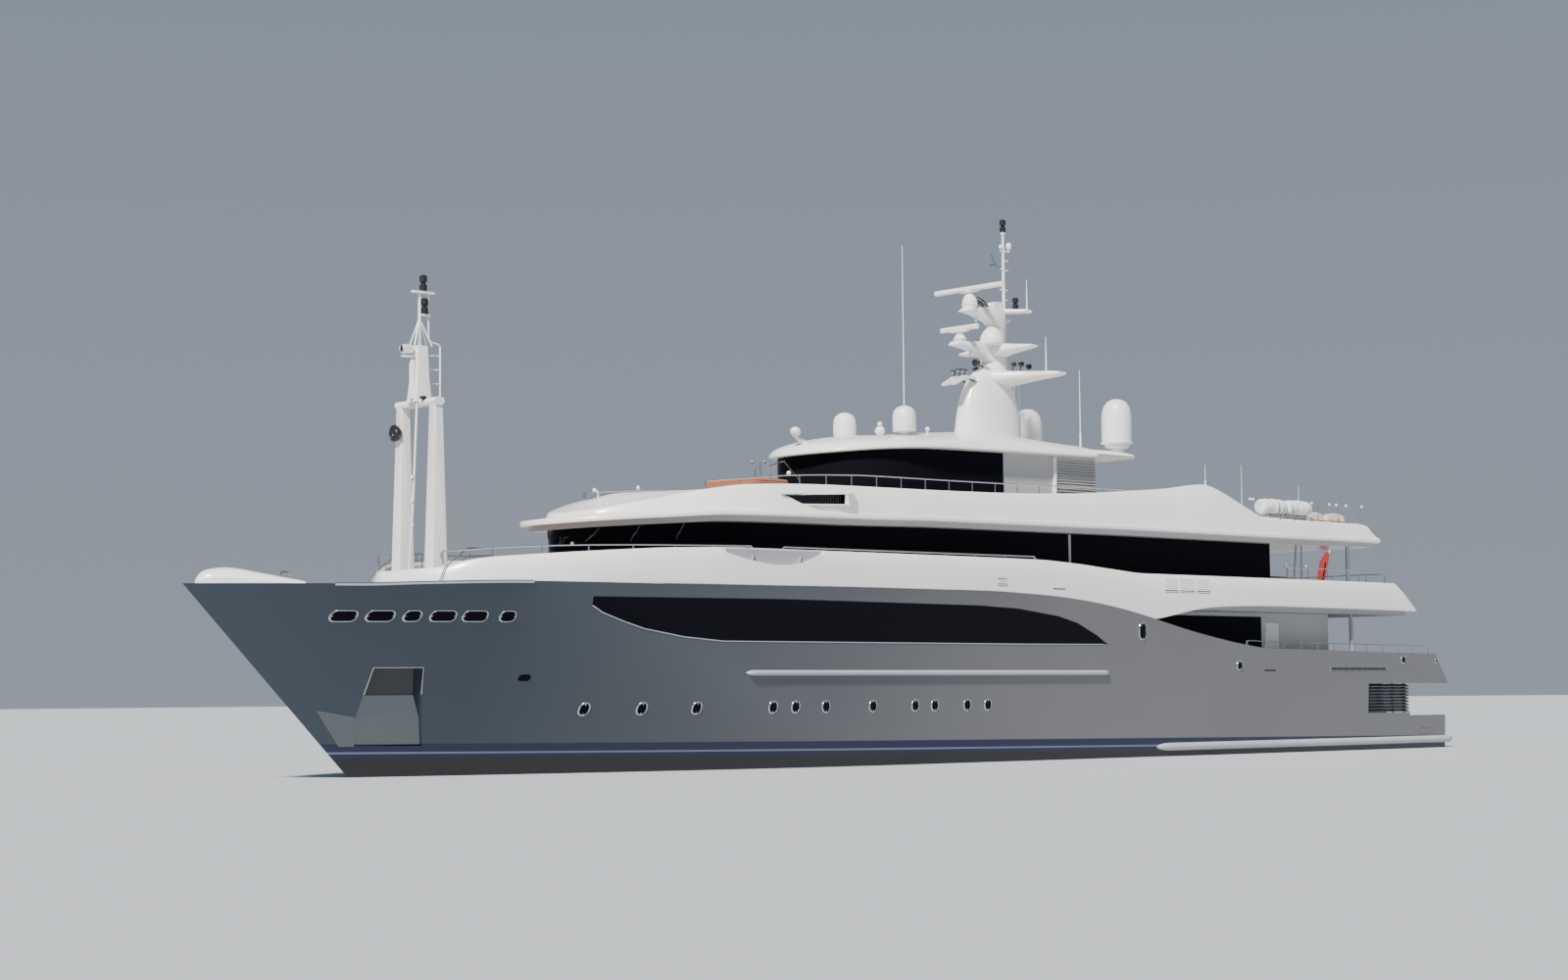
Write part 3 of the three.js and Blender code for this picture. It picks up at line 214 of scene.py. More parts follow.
def hull_half(x, z):
    """Half the hull's breadth at x and height z."""
    share = min(max(z / BOW_Z, 0), 1.3)
    start = 4 + 13 * share
    full = WATERLINE_HALF_BEAM + (HALF_BEAM - WATERLINE_HALF_BEAM) * min(share, 1)
    along = min(max((x - start) / (stem_x(max(z, 0)) - start), 0), 1)
    taper = 1 - 0.1 * ((-12 - x) / 19) ** 2 if x < -12 else 1
    half = full * (1 - along ** (1.75 + 0.65 * share)) * taper
    if z >= 0:
        return half
    fullness = min(max((22 - x) / 18, 0), 1)
    depth = min(max(z / min(keel_z(x), -0.01), 0), 1)
    return half * (1 - depth ** (1.3 + 1.5 * fullness)) ** (1 - 0.5 * fullness)


def deck_half(x):
    return hull_half(x, sheer(x))


def loft(rings, caps=True):
    """Vertices and faces of a skin through closed rings of equal count, capped at both ends."""
    count = len(rings[0])
    verts = [tuple(point) for ring in rings for point in ring]
    faces = []
    for i in range(len(rings) - 1):
        for j in range(count):
            a, b = i * count + j, i * count + (j + 1) % count
            faces.append((a, b, b + count, a + count))
    if caps:
        faces.append(tuple(reversed(range(count))))
        faces.append(tuple(range((len(rings) - 1) * count, len(rings) * count)))
    return verts, faces


def together(*parts):
    """Several lists of vertices and faces as one."""
    verts, faces = [], []
    for more_verts, more_faces in parts:
        faces += [tuple(i + len(verts) for i in face) for face in more_faces]
        verts += more_verts
    return verts, faces


def solid(name, verts, faces):
    """A mesh object in model metres, its faces turned outwards."""
    mesh = bpy.data.meshes.new(name)
    mesh.from_pydata([tuple(c * SCALE for c in point) for point in verts], [], faces)
    mesh.validate()
    piece = bpy.data.objects.new(name, mesh)
    bpy.context.scene.collection.objects.link(piece)
    turn_outwards(mesh)
    return piece


def turn_outwards(mesh):
    work = bmesh.new()
    work.from_mesh(mesh)
    bmesh.ops.remove_doubles(work, verts=work.verts, dist=1e-5)
    bmesh.ops.recalc_face_normals(work, faces=work.faces)
    if work.calc_volume(signed=True) < 0:
        bmesh.ops.reverse_faces(work, faces=work.faces)
    work.to_mesh(mesh)
    work.free()


def prism(name, outline, low, high, along="Y"):
    """An outline given a thickness: x and z along Y, x and y along Z, y and z along X."""
    order = {"X": lambda a, b, c: (c, a, b), "Y": lambda a, b, c: (a, c, b),
            "Z": lambda a, b, c: (a, b, c)}[along]
    return solid(name, *loft([[order(a, b, c) for a, b in outline] for c in (low, high)]))


def block(name, x0, x1, y0, y1, z0, z1):
    return prism(name, [(x0, y0), (x1, y0), (x1, y1), (x0, y1)], z0, z1, "Z")


def settle(piece):
    """Replaces the mesh by what its modifiers make of it."""
    shape = piece.evaluated_get(bpy.context.evaluated_depsgraph_get())
    mesh = bpy.data.meshes.new_from_object(shape)
    old = piece.data
    piece.modifiers.clear()
    piece.data = mesh
    mesh.name = piece.name
    bpy.data.meshes.remove(old)


def combine(piece, operation, *tools):
    for tool in tools:
        step = piece.modifiers.new("combine", "BOOLEAN")
        step.operation, step.solver, step.object = operation, "MANIFOLD", tool
        settle(piece)
        mesh = tool.data
        bpy.data.objects.remove(tool)
        bpy.data.meshes.remove(mesh)
    return piece


def carve(piece, *tools):
    return combine(piece, "DIFFERENCE", *tools)


def finish(piece, material, slot, body=SHIP, sharp=30, replaces=()):
    """Smooth shading, material and body of a finished piece; its slot is not used."""
    mesh = piece.data
    mesh.materials.clear()
    mesh.materials.append(material)
    for polygon in mesh.polygons:
        polygon.material_index = 0
    mesh.shade_smooth()
    mesh.set_sharp_from_angle(angle=math.radians(sharp))
    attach(piece, body)
    if replaces:
        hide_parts(*replaces)
    return piece


def hull_form(name, grow=0.0, lift=0.0):
    """The bare hull, grown outwards, and raised above its deck edge to cut with."""
    stations = np.concatenate([np.arange(-31.5, 22, 0.45), BOW_X - 8.8 * np.linspace(1, 0.006, 40) ** 1.35])
    shares = np.concatenate([[0, 0.004, 0.012, 0.025], np.linspace(0.045, 1, 34)])
    rings = []
    for x in sorted(set(stations)):
        keel, top = keel_z(x), sheer(x)
        rows = []
        for i, share in enumerate(shares):
            z = keel + (top - keel) * share
            drop = 0 if i else max(grow, 0)
            rows.append((x, 0 if i == 0 else max(hull_half(x, z) + grow, 0.0008 * i), z - drop))
        if lift:
            rows.append((x, rows[-1][1], top + lift))
        rings.append(rows + [(a, -y, z) for a, y, z in reversed(rows[1:])])
    return solid(name, *loft(rings))


def plan_block(name, aft, fore, half, bottom, top, count=60):
    """A block whose half width follows a function of x."""
    rings = []
    for x in np.linspace(aft, fore, count):
        y = half(x)
        z0 = bottom(x) if callable(bottom) else bottom
        z1 = top(x) if callable(top) else top
        rings.append([(x, y, z0), (x, y, z1), (x, -y, z1), (x, -y, z0)])
    return solid(name, *loft(rings))


def inner_hull(wall, box):
    return combine(hull_form("inner", -wall, 3.0), "INTERSECT", block("limit", *box))


def stair_treads():
    rise = (MAIN_DECK - PLATFORM) / (STAIR_STEPS + 1)
    run = (STAIR_TOP_X - TRANSOM_X) / STAIR_STEPS
    outline = [(STAIR_TOP_X + 0.1, PLATFORM - 0.1), (STAIR_TOP_X + 0.1, PLATFORM + rise * STAIR_STEPS)]
    for i in range(STAIR_STEPS, 0, -1):
        back = STAIR_TOP_X - run * (STAIR_STEPS - i)
        outline += [(back, PLATFORM + rise * i), (back - run, PLATFORM + rise * i)]
    outline = outline[:2] + outline[3:] + [(TRANSOM_X, PLATFORM - 0.1)]
    return outline


def spread(outline, by):
    """An anticlockwise outline moved outwards by the same distance on every edge."""
    points = [Vector(p) for p in outline]
    moved = []
    for i, point in enumerate(points):
        before = (point - points[i - 1]).normalized()
        after = (points[(i + 1) % len(points)] - point).normalized()
        normal = Vector((before.y + after.y, -before.x - after.x)).normalized()
        reach = by / max(normal.dot(Vector((after.y, -after.x))), 0.3)
        moved.append(tuple(point + normal * reach))
    return moved


def round_turn(count):
    return np.linspace(0, 2 * math.pi, count, endpoint=False)


def ball(centre, radii, around=24, rows=14):
    rings = []
    for i in range(1, rows):
        a = math.pi * i / rows
        x = centre[0] - radii[0] * math.cos(a)
        rings.append([(x, centre[1] + radii[1] * math.sin(a) * math.cos(t),
                centre[2] + radii[2] * math.sin(a) * math.sin(t))
                for t in round_turn(around)])
    return loft(rings)


def build_hull():
    hull = hull_form("hull_skin")
    rimmed = lambda x: deck_half(x) - RIM
    carve(hull, plan_block("cut", SIDE_DECK_X, DECK_FRONT_X, rimmed, UPPER_SOFFIT, 9))
    carve(hull, inner_hull(0.3, (24.2, 28.6, -6, 6, MOORING_DECK, 9)))
    carve(hull, inner_hull(0.25, (-29.7, SIDE_DECK_X, -6, 6, MAIN_DECK, 9)))
    carve(hull, block("cut", -32, TRANSOM_X, -6, 6, PLATFORM_WALL, OVERHANG_SOFFIT))
    carve(hull, inner_hull(0.3, (-32, TRANSOM_X, -6, 6, PLATFORM, PLATFORM_WALL + 0.1)))
    carve(hull, block("cut", -32, HULL_END_X, -6, 6, -3, PLATFORM_WALL + 0.1))
    carve(hull, prism("cut", [(OVERHANG_END_X, 2.5), (OVERHANG_END_X, OVERHANG_SOFFIT), (-29.55, 3.94),
            (-29.3, 5), (-33, 5), (-33, 2.5)], -6, 6))
    carve(hull, block("cut", TRANSOM_X - 0.5, GARAGE_FORE, -GARAGE_HALF, GARAGE_HALF, GARAGE_FLOOR,
            GARAGE_TOP))
    for side in (1, -1):
        low, high = sorted((side * STAIR_INNER, side * STAIR_OUTER))
        carve(hull, block("cut", TRANSOM_X - 0.5, STAIR_TOP_X, low, high, PLATFORM, 5))
        outer = sorted((side * (STAIR_OUTER - 0.1), side * 6))
        carve(hull, block("cut", TRANSOM_X - 0.5, LOUVRE_FORE, *outer, LOUVRE_FOOT, OVERHANG_SOFFIT))
        combine(hull, "UNION", prism("steps", stair_treads(), low - 0.04, high + 0.04))
        # the side window's recess and the anchor pocket
        recess = prism("cut", spread(HULL_WINDOW, 0.02), *sorted((side * 3, side * 6)))
        carve(hull, carve(recess, hull_form("keep", -GLASS_DEPTH)))
        pocket = prism("cut", POCKET, *sorted((side * 0.4, side * 6)))
        carve(hull, carve(pocket, hull_form("keep", -0.55)))
    combine(hull, "UNION", solid("bulb", *ball((22.6, 0, -1.75), (4.2, 0.62, 0.85), 28, 18)),
            prism("keel", [(10, -2.4), (8, -KEEL_DEPTH), (-22.8, -KEEL_DEPTH), (-24.6, -0.9),
            (-8, -2.2)], -0.22, 0.22))
    return hull


def blend(tree, factor, first, second):
    """Mixes two colours, each a value or another node's output."""
    node = tree.nodes.new("ShaderNodeMix")
    node.data_type = "RGBA"
    for given, label in ((factor, "Factor"), (first, "A"), (second, "B")):
        if isinstance(given, tuple):
            node.inputs[label].default_value = given
        else:
            tree.links.new(given, node.inputs[label])
    return node.outputs["Result"]


def reckon(tree, kind, *inputs):
    """A maths node, its inputs numbers or other nodes' outputs."""
    node = tree.nodes.new("ShaderNodeMath")
    node.operation = kind
    for i, given in enumerate(inputs):
        if isinstance(given, float):
            node.inputs[i].default_value = given
        else:
            tree.links.new(given, node.inputs[i])
    return node.outputs[0]


def sprayed(name, colour, roughness, metallic):
    """Sprayed paint: faint orange peel and slow drifts of tone, under a clear coat."""
    material, tree, shader = new_material(name, Metallic=metallic, Coat_Weight=0.35, Coat_Roughness=0.12)
    place = add_node(tree, "ShaderNodeTexCoord")
    drift = add_node(tree, "ShaderNodeTexNoise", Scale=0.35, Detail=5.0)
    peel = add_node(tree, "ShaderNodeTexNoise", Scale=9.0, Detail=2.0)
    bump = add_node(tree, "ShaderNodeBump", Strength=0.04, Distance=0.02)
    gloss = add_node(tree, "ShaderNodeMapRange", To_Min=roughness * 0.85, To_Max=roughness * 1.2)
    darker, paler = (*(c * 0.88 for c in colour), 1), (*(min(c * 1.12, 1) for c in colour), 1)
    tree.links.new(blend(tree, drift.outputs["Fac"], darker, paler), shader.inputs["Base Color"])
    connect(tree, (place, "Object", drift, "Vector"), (place, "Object", peel, "Vector"),
            (drift, "Fac", gloss, "Value"), (peel, "Fac", bump, "Height"), (gloss, 0, shader, "Roughness"),
            (bump, "Normal", shader, "Normal"))
    return material


def striped_hull_paint():
    """The hull's grey, darkening towards the bow into a painted shade, above bands that follow the height
    over the water.
    """
    material = sprayed("hull_grey_and_bow_shade", (0.168, 0.163, 0.168), 0.34, 0.4)
    tree = material.node_tree
    colour = tree.nodes["Principled BSDF"].inputs["Base Color"]
    place = next(node for node in tree.nodes if node.type == "TEX_COORD")
    split = add_node(tree, "ShaderNodeSeparateXYZ")
    forward = add_node(tree, "ShaderNodeMapRange", From_Min=-2.0, From_Max=11.0)
    connect(tree, (place, "Object", split, 0), (split, "X", forward, "Value"))
    # towards the bow the grey darkens into the painted shade of the flared bow
    paint = blend(tree, forward.outputs[0], colour.links[0].from_socket, BOW_PAINTED_SHADE)
    # the painted waterline sweeps up a little towards the bow
    level = reckon(tree, "MULTIPLY_ADD", split.outputs["X"], -0.010, split.outputs["Z"])
    for top, band in reversed(WATERLINE_BANDS):
        paint = blend(tree, reckon(tree, "LESS_THAN", level, top), paint, (*band, 1))
    tree.links.new(paint, colour)
    return material


hull_grey_and_bow_shade = striped_hull_paint()
hull_skin = build_hull()
finish(hull_skin, hull_grey_and_bow_shade, "hull_paint", replaces=("hull",))

# Glass and trim of the hull's sides
# Black glass bonded flush into the recess, with a bright bead under it. The portholes are
# oblong panes in bolted rims, and steel fairleads are let into the bow and the quarters; a plate
# of the dark glass in each fairlead's opening is painted shade of the space behind it.

SIDES = ((1, "port"), (-1, "stbd"))
PORTHOLE_Z, PORTHOLE_HIGH, PORTHOLE_WIDE = 2.13, 0.36, 0.3
PORTHOLES = (18.05, 16.0, 13.92, 10.75, 9.74, 8.31, 6.0, 3.86, 2.85, 1.14, 0.03)
FAIRLEADS = ((26.58, 0.78), (25.56, 0.84), (24.64, 0.56), (23.72, 0.82), (22.73, 0.82), (21.68, 0.56))
FAIRLEAD_Z, FAIRLEAD_HIGH = 5.14, 0.38
QUARTER_FAIRLEADS = ((-8.78, 4.95, 0.46, 0.72), (-14.93, 3.61, 0.42, 0.42), (-26.79, 3.89, 0.4, 0.4),
        (-29.47, 3.85, 0.26, 0.26))


def fit(name, shapes, material, slot, **more):
    """A finished piece made of several lists of vertices and faces."""
    return finish(solid(name, *together(*shapes)), material, slot, **more)


def black_glass(name):
    """Tinted glass over a dark cabin, with the slight waviness of toughened panes."""
    tint = (0.006, 0.006, 0.009, 1)
    material, tree, shader = new_material(name, Base_Color=tint, IOR=1.3, Specular_IOR_Level=0.06)
    place = add_node(tree, "ShaderNodeTexCoord")
    wave = add_node(tree, "ShaderNodeTexNoise", Scale=0.8)
    smear = add_node(tree, "ShaderNodeTexNoise", Scale=5.0, Detail=6.0)
    gloss = add_node(tree, "ShaderNodeMapRange", To_Min=0.03, To_Max=0.11)
    bump = add_node(tree, "ShaderNodeBump", Strength=0.05, Distance=0.05)
    connect(tree, (place, "Object", wave, "Vector"), (place, "Object", smear, "Vector"),
            (wave, "Fac", bump, "Height"), (smear, "Fac", gloss, "Value"), (gloss, 0, shader, "Roughness"),
            (bump, "Normal", shader, "Normal"))
    return material


def polished(name, colour, roughness=0.18):
    """Polished metal with fine brush marks and a few duller patches."""
    material = sprayed(name, colour, roughness, 1.0)
    shader = material.node_tree.nodes["Principled BSDF"]
    shader.inputs["Coat Weight"].default_value = 0.0
    return material


def rounded(x, z, wide, high, radius, steps):
    """A rectangle with rounded corners, anticlockwise."""
    points = []
    for quarter, (sx, sz) in enumerate(((1, -1), (1, 1), (-1, 1), (-1, -1))):
        for k in range(steps):
            a = math.radians(-90 + 90 * quarter + 90 * k / (steps - 1))
            points.append((x + sx * (wide / 2 - radius) + radius * math.cos(a),
                    z + sz * (high / 2 - radius) + radius * math.sin(a)))
    return points


def oblong(x, z, wide, high, steps=9):
    return rounded(x, z, wide, high, min(wide, high) / 2, steps)


def closer(outline, gap=0.3):
    """The same outline with its long edges divided, so that it follows a curved skin."""
    dense = []
    for i, (a, b) in enumerate(outline):
        c, d = outline[(i + 1) % len(outline)]
        count = max(int(math.hypot(c - a, d - b) / gap), 1)
        dense += [(a + (c - a) * k / count, b + (d - b) * k / count) for k in range(count)]
    return dense


def on_hull(x, z, out=0.0):
    return (x, hull_half(x, z) + out, z)


def skin_ring(outline, out, side):
    return [(x, side * (hull_half(x, z) + out), z) for x, z in outline]


def skin_plate(outline, low, high, side):
    """A plate on the hull's side, between two distances from the skin."""
    return loft([skin_ring(outline, low, side), skin_ring(outline, high, side)])


def skin_frame(outline, width, low, high, side):
    """A rim on the hull's side round an outline."""
    inner = spread(outline, -width)
    rings = [skin_ring(outline, low, side), skin_ring(outline, (low + high) * 0.7, side),
            skin_ring(spread(outline, -width * 0.3), high, side),
            skin_ring(spread(outline, -width * 0.7), high, side), skin_ring(inner, low, side)]
    return loft(rings + rings[:1], caps=False)


def tube(points, radius, around=10):
    """A round bar through points, its radius one number or one for each point."""
    points = [Vector(p) for p in points]
    sizes = radius if isinstance(radius, (list, tuple)) else [radius] * len(points)
    rings = []
    normal = None
    for i, point in enumerate(points):
        ahead = points[min(i + 1, len(points) - 1)] - points[max(i - 1, 0)]
        ahead.normalize()
        if normal is None:
            normal = ahead.orthogonal().normalized()
        normal = (normal - ahead * normal.dot(ahead)).normalized()
        across = ahead.cross(normal)
        rings.append([tuple(point + (normal * math.cos(a) + across * math.sin(a)) * sizes[i])
                for a in round_turn(around)])
    return loft(rings)


dark_glass = black_glass("tinted_glass")
steel = polished("polished_steel", (0.62, 0.63, 0.65))
# near black: the transom door's rubber seal, and painted shade inside the anchor pockets, the mooring slots
# and the air intakes
seal_rubber_and_painted_shade = sprayed("seal_rubber_and_painted_shade", (0.02, 0.022, 0.026), 0.6, 0.0)
window_bead = [(-6.45, 4.42), (-2, 4.40), (4, 4.40), (9, 4.40), (13.2, 4.40), (14.9, 4.53), (16.6, 4.79),
        (17.42, 5.01), (18.33, 5.30), (18.77, 5.53)]
for side, name in SIDES:
    pane = prism("hull_glass_" + name, HULL_WINDOW, *sorted((side * 3, side * 6)))
    combine(pane, "INTERSECT", hull_form("skin"))
    carve(pane, hull_form("keep", -0.05))
    finish(pane, dark_glass, "dark_glass", replaces=("hull_window_" + name,))
    beads = [tube([on_hull(x, z, 0.004) for x, z in window_bead], 0.022)]
    fitted = []
    panes = []
    for x in PORTHOLES:
        rim = oblong(x, PORTHOLE_Z, PORTHOLE_WIDE + 0.1, PORTHOLE_HIGH + 0.1)
        fitted.append(skin_frame(rim, 0.05, -0.02, 0.02, side))
        panes.append(skin_plate(spread(rim, -0.045), -0.02, 0.006, side))
    # each fairlead's opening is filled with a plate of the dark glass, as painted shade of the space behind
    # it
    for x, wide in FAIRLEADS:
        rim = oblong(x, FAIRLEAD_Z, wide, FAIRLEAD_HIGH)
        fitted.append(skin_frame(rim, 0.045, -0.02, 0.04, side))
        panes.append(skin_plate(spread(rim, -0.035), -0.02, 0.008, side))
    for x, z, wide, high in QUARTER_FAIRLEADS:
        rim = oblong(x, z, wide, high)
        fitted.append(skin_frame(rim, 0.05, -0.02, 0.03, side))
        panes.append(skin_plate(spread(rim, -0.045), -0.02, 0.005, side))
    panes.append(skin_plate(oblong(20.43, 3.17, 0.4, 0.2), -0.02, 0.02, side))
    panes.append(skin_plate(oblong(-16.98, 3.41, 0.75, 0.05), -0.02, 0.005, side))
    beads = [([(x, side * y, z) for x, y, z in verts], faces) for verts, faces in beads]
    fit("side_fittings_" + name, beads + fitted, steel, "steel")
    fit("porthole_panes_" + name, panes, dark_glass, "dark_glass")


# Rubbing strakes and the rail round the stern
# Half round mouldings of grey fendering over a steel core, welded along the side. They end
# in rounded noses, and the stern rail turns round the swim platform.

HALF_ROUND = [(math.sin(math.radians(a)), math.cos(math.radians(a)) ** 0.45 if abs(a) < 90 else 0)
        for a in np.linspace(-90, 90, 9)]  # rise and bulge, from foot to top


def moulding(aft, fore, foot, top, reach, side):
    """A bulged moulding along the side, tapering into the skin at both ends."""
    middle, half = (foot + top) / 2, (top - foot) / 2
    rings = []
    for x in np.linspace(aft, fore, 120):
        near = min(x - aft, fore - x) / 0.35
        end = max(math.sqrt(1 - (1 - min(near, 1)) ** 2), 0.05)
        ring = []
        for rise, bulge in HALF_ROUND:
            z = middle + half * rise * end
            ring.append((x, side * (hull_half(x, z) - 0.02 + (reach + 0.02) * bulge * end), z))
        rings.append(ring + [(x, side * (hull_half(x, middle) - 0.06), middle)])
    return loft(rings)


def stern_moulding():
    """The stern rail: along both sides and, rounded at its corners, across the stern."""
    path = [(x, hull_half(x, 0.4)) for x in np.linspace(-9.73, -30.1, 90)]
    end_y = path[-1][1]
    path += [(-30.25 - 0.55 * math.sin(a), end_y - 0.55 + 0.55 * math.cos(a))
            for a in np.linspace(0.1, math.pi / 2, 10)]
    path += [(-30.8, y) for y in np.linspace(end_y - 0.8, 0, 12)]
    path += [(x, -y) for x, y in reversed(path[:-1])]
    spots = [Vector(p) for p in path]
    rings = []
    for i, spot in enumerate(spots):
        ahead = (spots[min(i + 1, len(spots) - 1)] - spots[max(i - 1, 0)]).normalized()
        out = Vector((ahead.y, -ahead.x))
        if out.dot(spot - Vector((-10, 0))) < 0:
            out = -out
        end = min(i, len(spots) - 1 - i)
        swell = math.sqrt(1 - (1 - min((end + 0.2) / 4, 1)) ** 2)
        ring = []
        for rise, bulge in HALF_ROUND:
            reach = -0.1 + 0.3 * bulge * swell
            ring.append((spot.x + out.x * reach, spot.y + out.y * reach, 0.38 + 0.16 * rise * swell))
        rings.append(ring)
    return loft(rings)


fender_grey = sprayed("fender_grey", (0.42, 0.42, 0.45), 0.5, 0.0)
for side, name in SIDES:
    strake = solid("strake_" + name, *moulding(-6.8, 12.1, 3.22, 3.41, 0.16, side))
    finish(strake, fender_grey, "grey_trim", sharp=50, replaces=("side_strake_" + name,))
fit("stern_rubbing_rail", [stern_moulding()], fender_grey, "grey_trim", sharp=50, replaces=("stern_rail",))


# Bow gear
# Each anchor pocket is lined with stainless plate, a near black plate inside its top standing as
# painted shade, with a chafing plate on the stem beside it. A cap strip covers the joint of side
# and deck along the bow.

POCKET_AFT = ([1.0, 2.65, 3.54], [22.91, 23.45, 23.7])  # heights, then x at each
POCKET_FORE = ([1.03, 1.92, 2.67, 3.54], [25.05, 25.17, 25.15, 25.16])


def pocket_plate(top, low, top_out, low_out, side, thick=0.04):
    """A plate across the anchor pocket between two heights, at given distances from the skin."""
    rings = []
    for share in np.linspace(0, 1, 7):
        z = top + (low - top) * share
        out = top_out + (low_out - top_out) * share
        row = np.linspace(np.interp(z, *POCKET_AFT) + 0.02, np.interp(z, *POCKET_FORE) - 0.02, 8)
        rings.append([(x, side * (hull_half(x, z) + out), z) for x in row]
                + [(x, side * (hull_half(x, z) + out - thick), z) for x in row[::-1]])
    return loft(rings)


def cap_strip(side):
    rings = []
    for x in np.linspace(21.1, 27.2, 50):
        end = math.sqrt(1 - (1 - min((x - 21.1) / 0.2, 1)) ** 2)
        outer, z = deck_half(x) + 0.02, sheer(x)
        inner = outer - 0.06 - 0.22 * end
        rings.append([(x, side * y, height) for y, height in
                ((outer, z - 0.07), (outer + 0.01, z - 0.01), (outer - 0.04, z + 0.03),
                (inner + 0.03, z + 0.03), (inner, z))])
    return loft(rings)


pocket_steel = polished("pocket_steel", (0.15, 0.165, 0.18), 0.34)
for side, name in SIDES:
    plates = together(pocket_plate(2.65, 1.92, -0.42, -0.1, side),
            pocket_plate(1.92, 1.05, -0.1, -0.06, side), skin_plate([(24.95, 1.0), (25.41, 1.0),
            (26.36, 2.18), (25.2, 1.95)], -0.02, 0.012, side))
    fit("pocket_plates_" + name, [plates], pocket_steel, "steel")
    # a near black plate across the top of the pocket, painted shade under its top edge
    dark = together(pocket_plate(3.52, 2.67, -0.5, -0.44, side))
    fit("pocket_lining_" + name, [dark], seal_rubber_and_painted_shade, "slate_paint")
    rim = [(23.46, 2.67), (23.7, 3.53), (25.15, 3.53), (25.14, 2.67)]
    trim = together(tube([(x, side * (hull_half(x, z) + 0.004), z) for x, z in rim], 0.02), cap_strip(side))
    fit("bow_cap_strip_" + name, [trim], steel, "steel")

# The stern
# Slatted louvres screen the stairs, the mooring slots run below the deck edge, and the platform
# and decks are laid in teak. The transom door hangs from hinges under the overhang.

LOUVRE_SLATS, LOUVRE_MIDDLE, LOUVRE_LONG = 9, -25.72, 3.1


def repeats_tree(name, sizes, material):
    """Copies of a shape at even places along a path, ending as real geometry with its material.

    The first size says how many there are, or how far apart they stand.
    """
    tree = bpy.data.node_groups.new(name, "GeometryNodeTree")
    tree.interface.new_socket("Path", in_out="INPUT", socket_type="NodeSocketGeometry")
    for label, value in sizes:
        kind = "NodeSocketInt" if isinstance(value, int) else "NodeSocketFloat"
        tree.interface.new_socket(label, in_out="INPUT", socket_type=kind).default_value = value
    tree.interface.new_socket("Geometry", in_out="OUTPUT", socket_type="NodeSocketGeometry")
    given, result = tree.nodes.new("NodeGroupInput"), tree.nodes.new("NodeGroupOutput")
    curve = add_node(tree, "GeometryNodeMeshToCurve")
    spaced = add_node(tree, "GeometryNodeResampleCurve")
    by = sizes[0][0]
    if by == "Spacing":
        spaced.mode = "LENGTH"
    placed = add_node(tree, "GeometryNodeInstanceOnPoints")
    real = add_node(tree, "GeometryNodeRealizeInstances")
    painted = add_node(tree, "GeometryNodeSetMaterial", Material=material)
    connect(tree, (given, "Path", curve, "Mesh"), (curve, "Curve", spaced, "Curve"),
            (given, by, spaced, "Length" if by == "Spacing" else "Count"),
            (spaced, "Curve", placed, "Points"), (placed, "Instances", real, "Geometry"),
            (real, "Geometry", painted, "Geometry"), (painted, "Geometry", result, "Geometry"))
    return tree, given, placed


def slats_tree(material):
    """Slats spread evenly along a path, each tilted and turned."""
    sizes = (("Count", 8), ("Length", 1.0), ("Depth", 0.1), ("Thickness", 0.02), ("Tilt", 0.5), ("Turn", 0.0))
    tree, given, placed = repeats_tree("slats", sizes, material)
    slat = add_node(tree, "GeometryNodeMeshCube")
    size = add_node(tree, "ShaderNodeCombineXYZ")
    turn = add_node(tree, "ShaderNodeCombineXYZ")
    connect(tree, (given, "Length", size, "X"), (given, "Depth", size, "Y"), (given, "Thickness", size, "Z"),
            (size, 0, slat, "Size"), (given, "Tilt", turn, "X"), (given, "Turn", turn, "Z"),
            (slat, "Mesh", placed, "Instance"), (turn, 0, placed, "Rotation"))
    return tree


def along(name, paths, tree, **sizes):
    """What a tree makes along paths of points, as one plain mesh. Sizes are in real metres."""
    verts, edges = [], []
    for path in paths:
        edges += [(len(verts) + i, len(verts) + i + 1) for i in range(len(path) - 1)]
        verts += [tuple(c * SCALE for c in point) for point in path]
    mesh = bpy.data.meshes.new(name)
    mesh.from_pydata(verts, edges, [])
    piece = bpy.data.objects.new(name, mesh)
    bpy.context.scene.collection.objects.link(piece)
    step = piece.modifiers.new("tree", "NODES")
    step.node_group = tree
    for item in tree.interface.items_tree:
        if item.name in sizes:
            plain = item.name in ("Count", "Tilt", "Turn")
            step[item.identifier] = sizes[item.name] if plain else sizes[item.name] * SCALE
    settle(piece)
    return piece


def dress(material, *nodes):
    """Gives the CAD solids that stay in view a finish."""
    for node in nodes:
        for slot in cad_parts[node].material_slots:
            slot.material = material


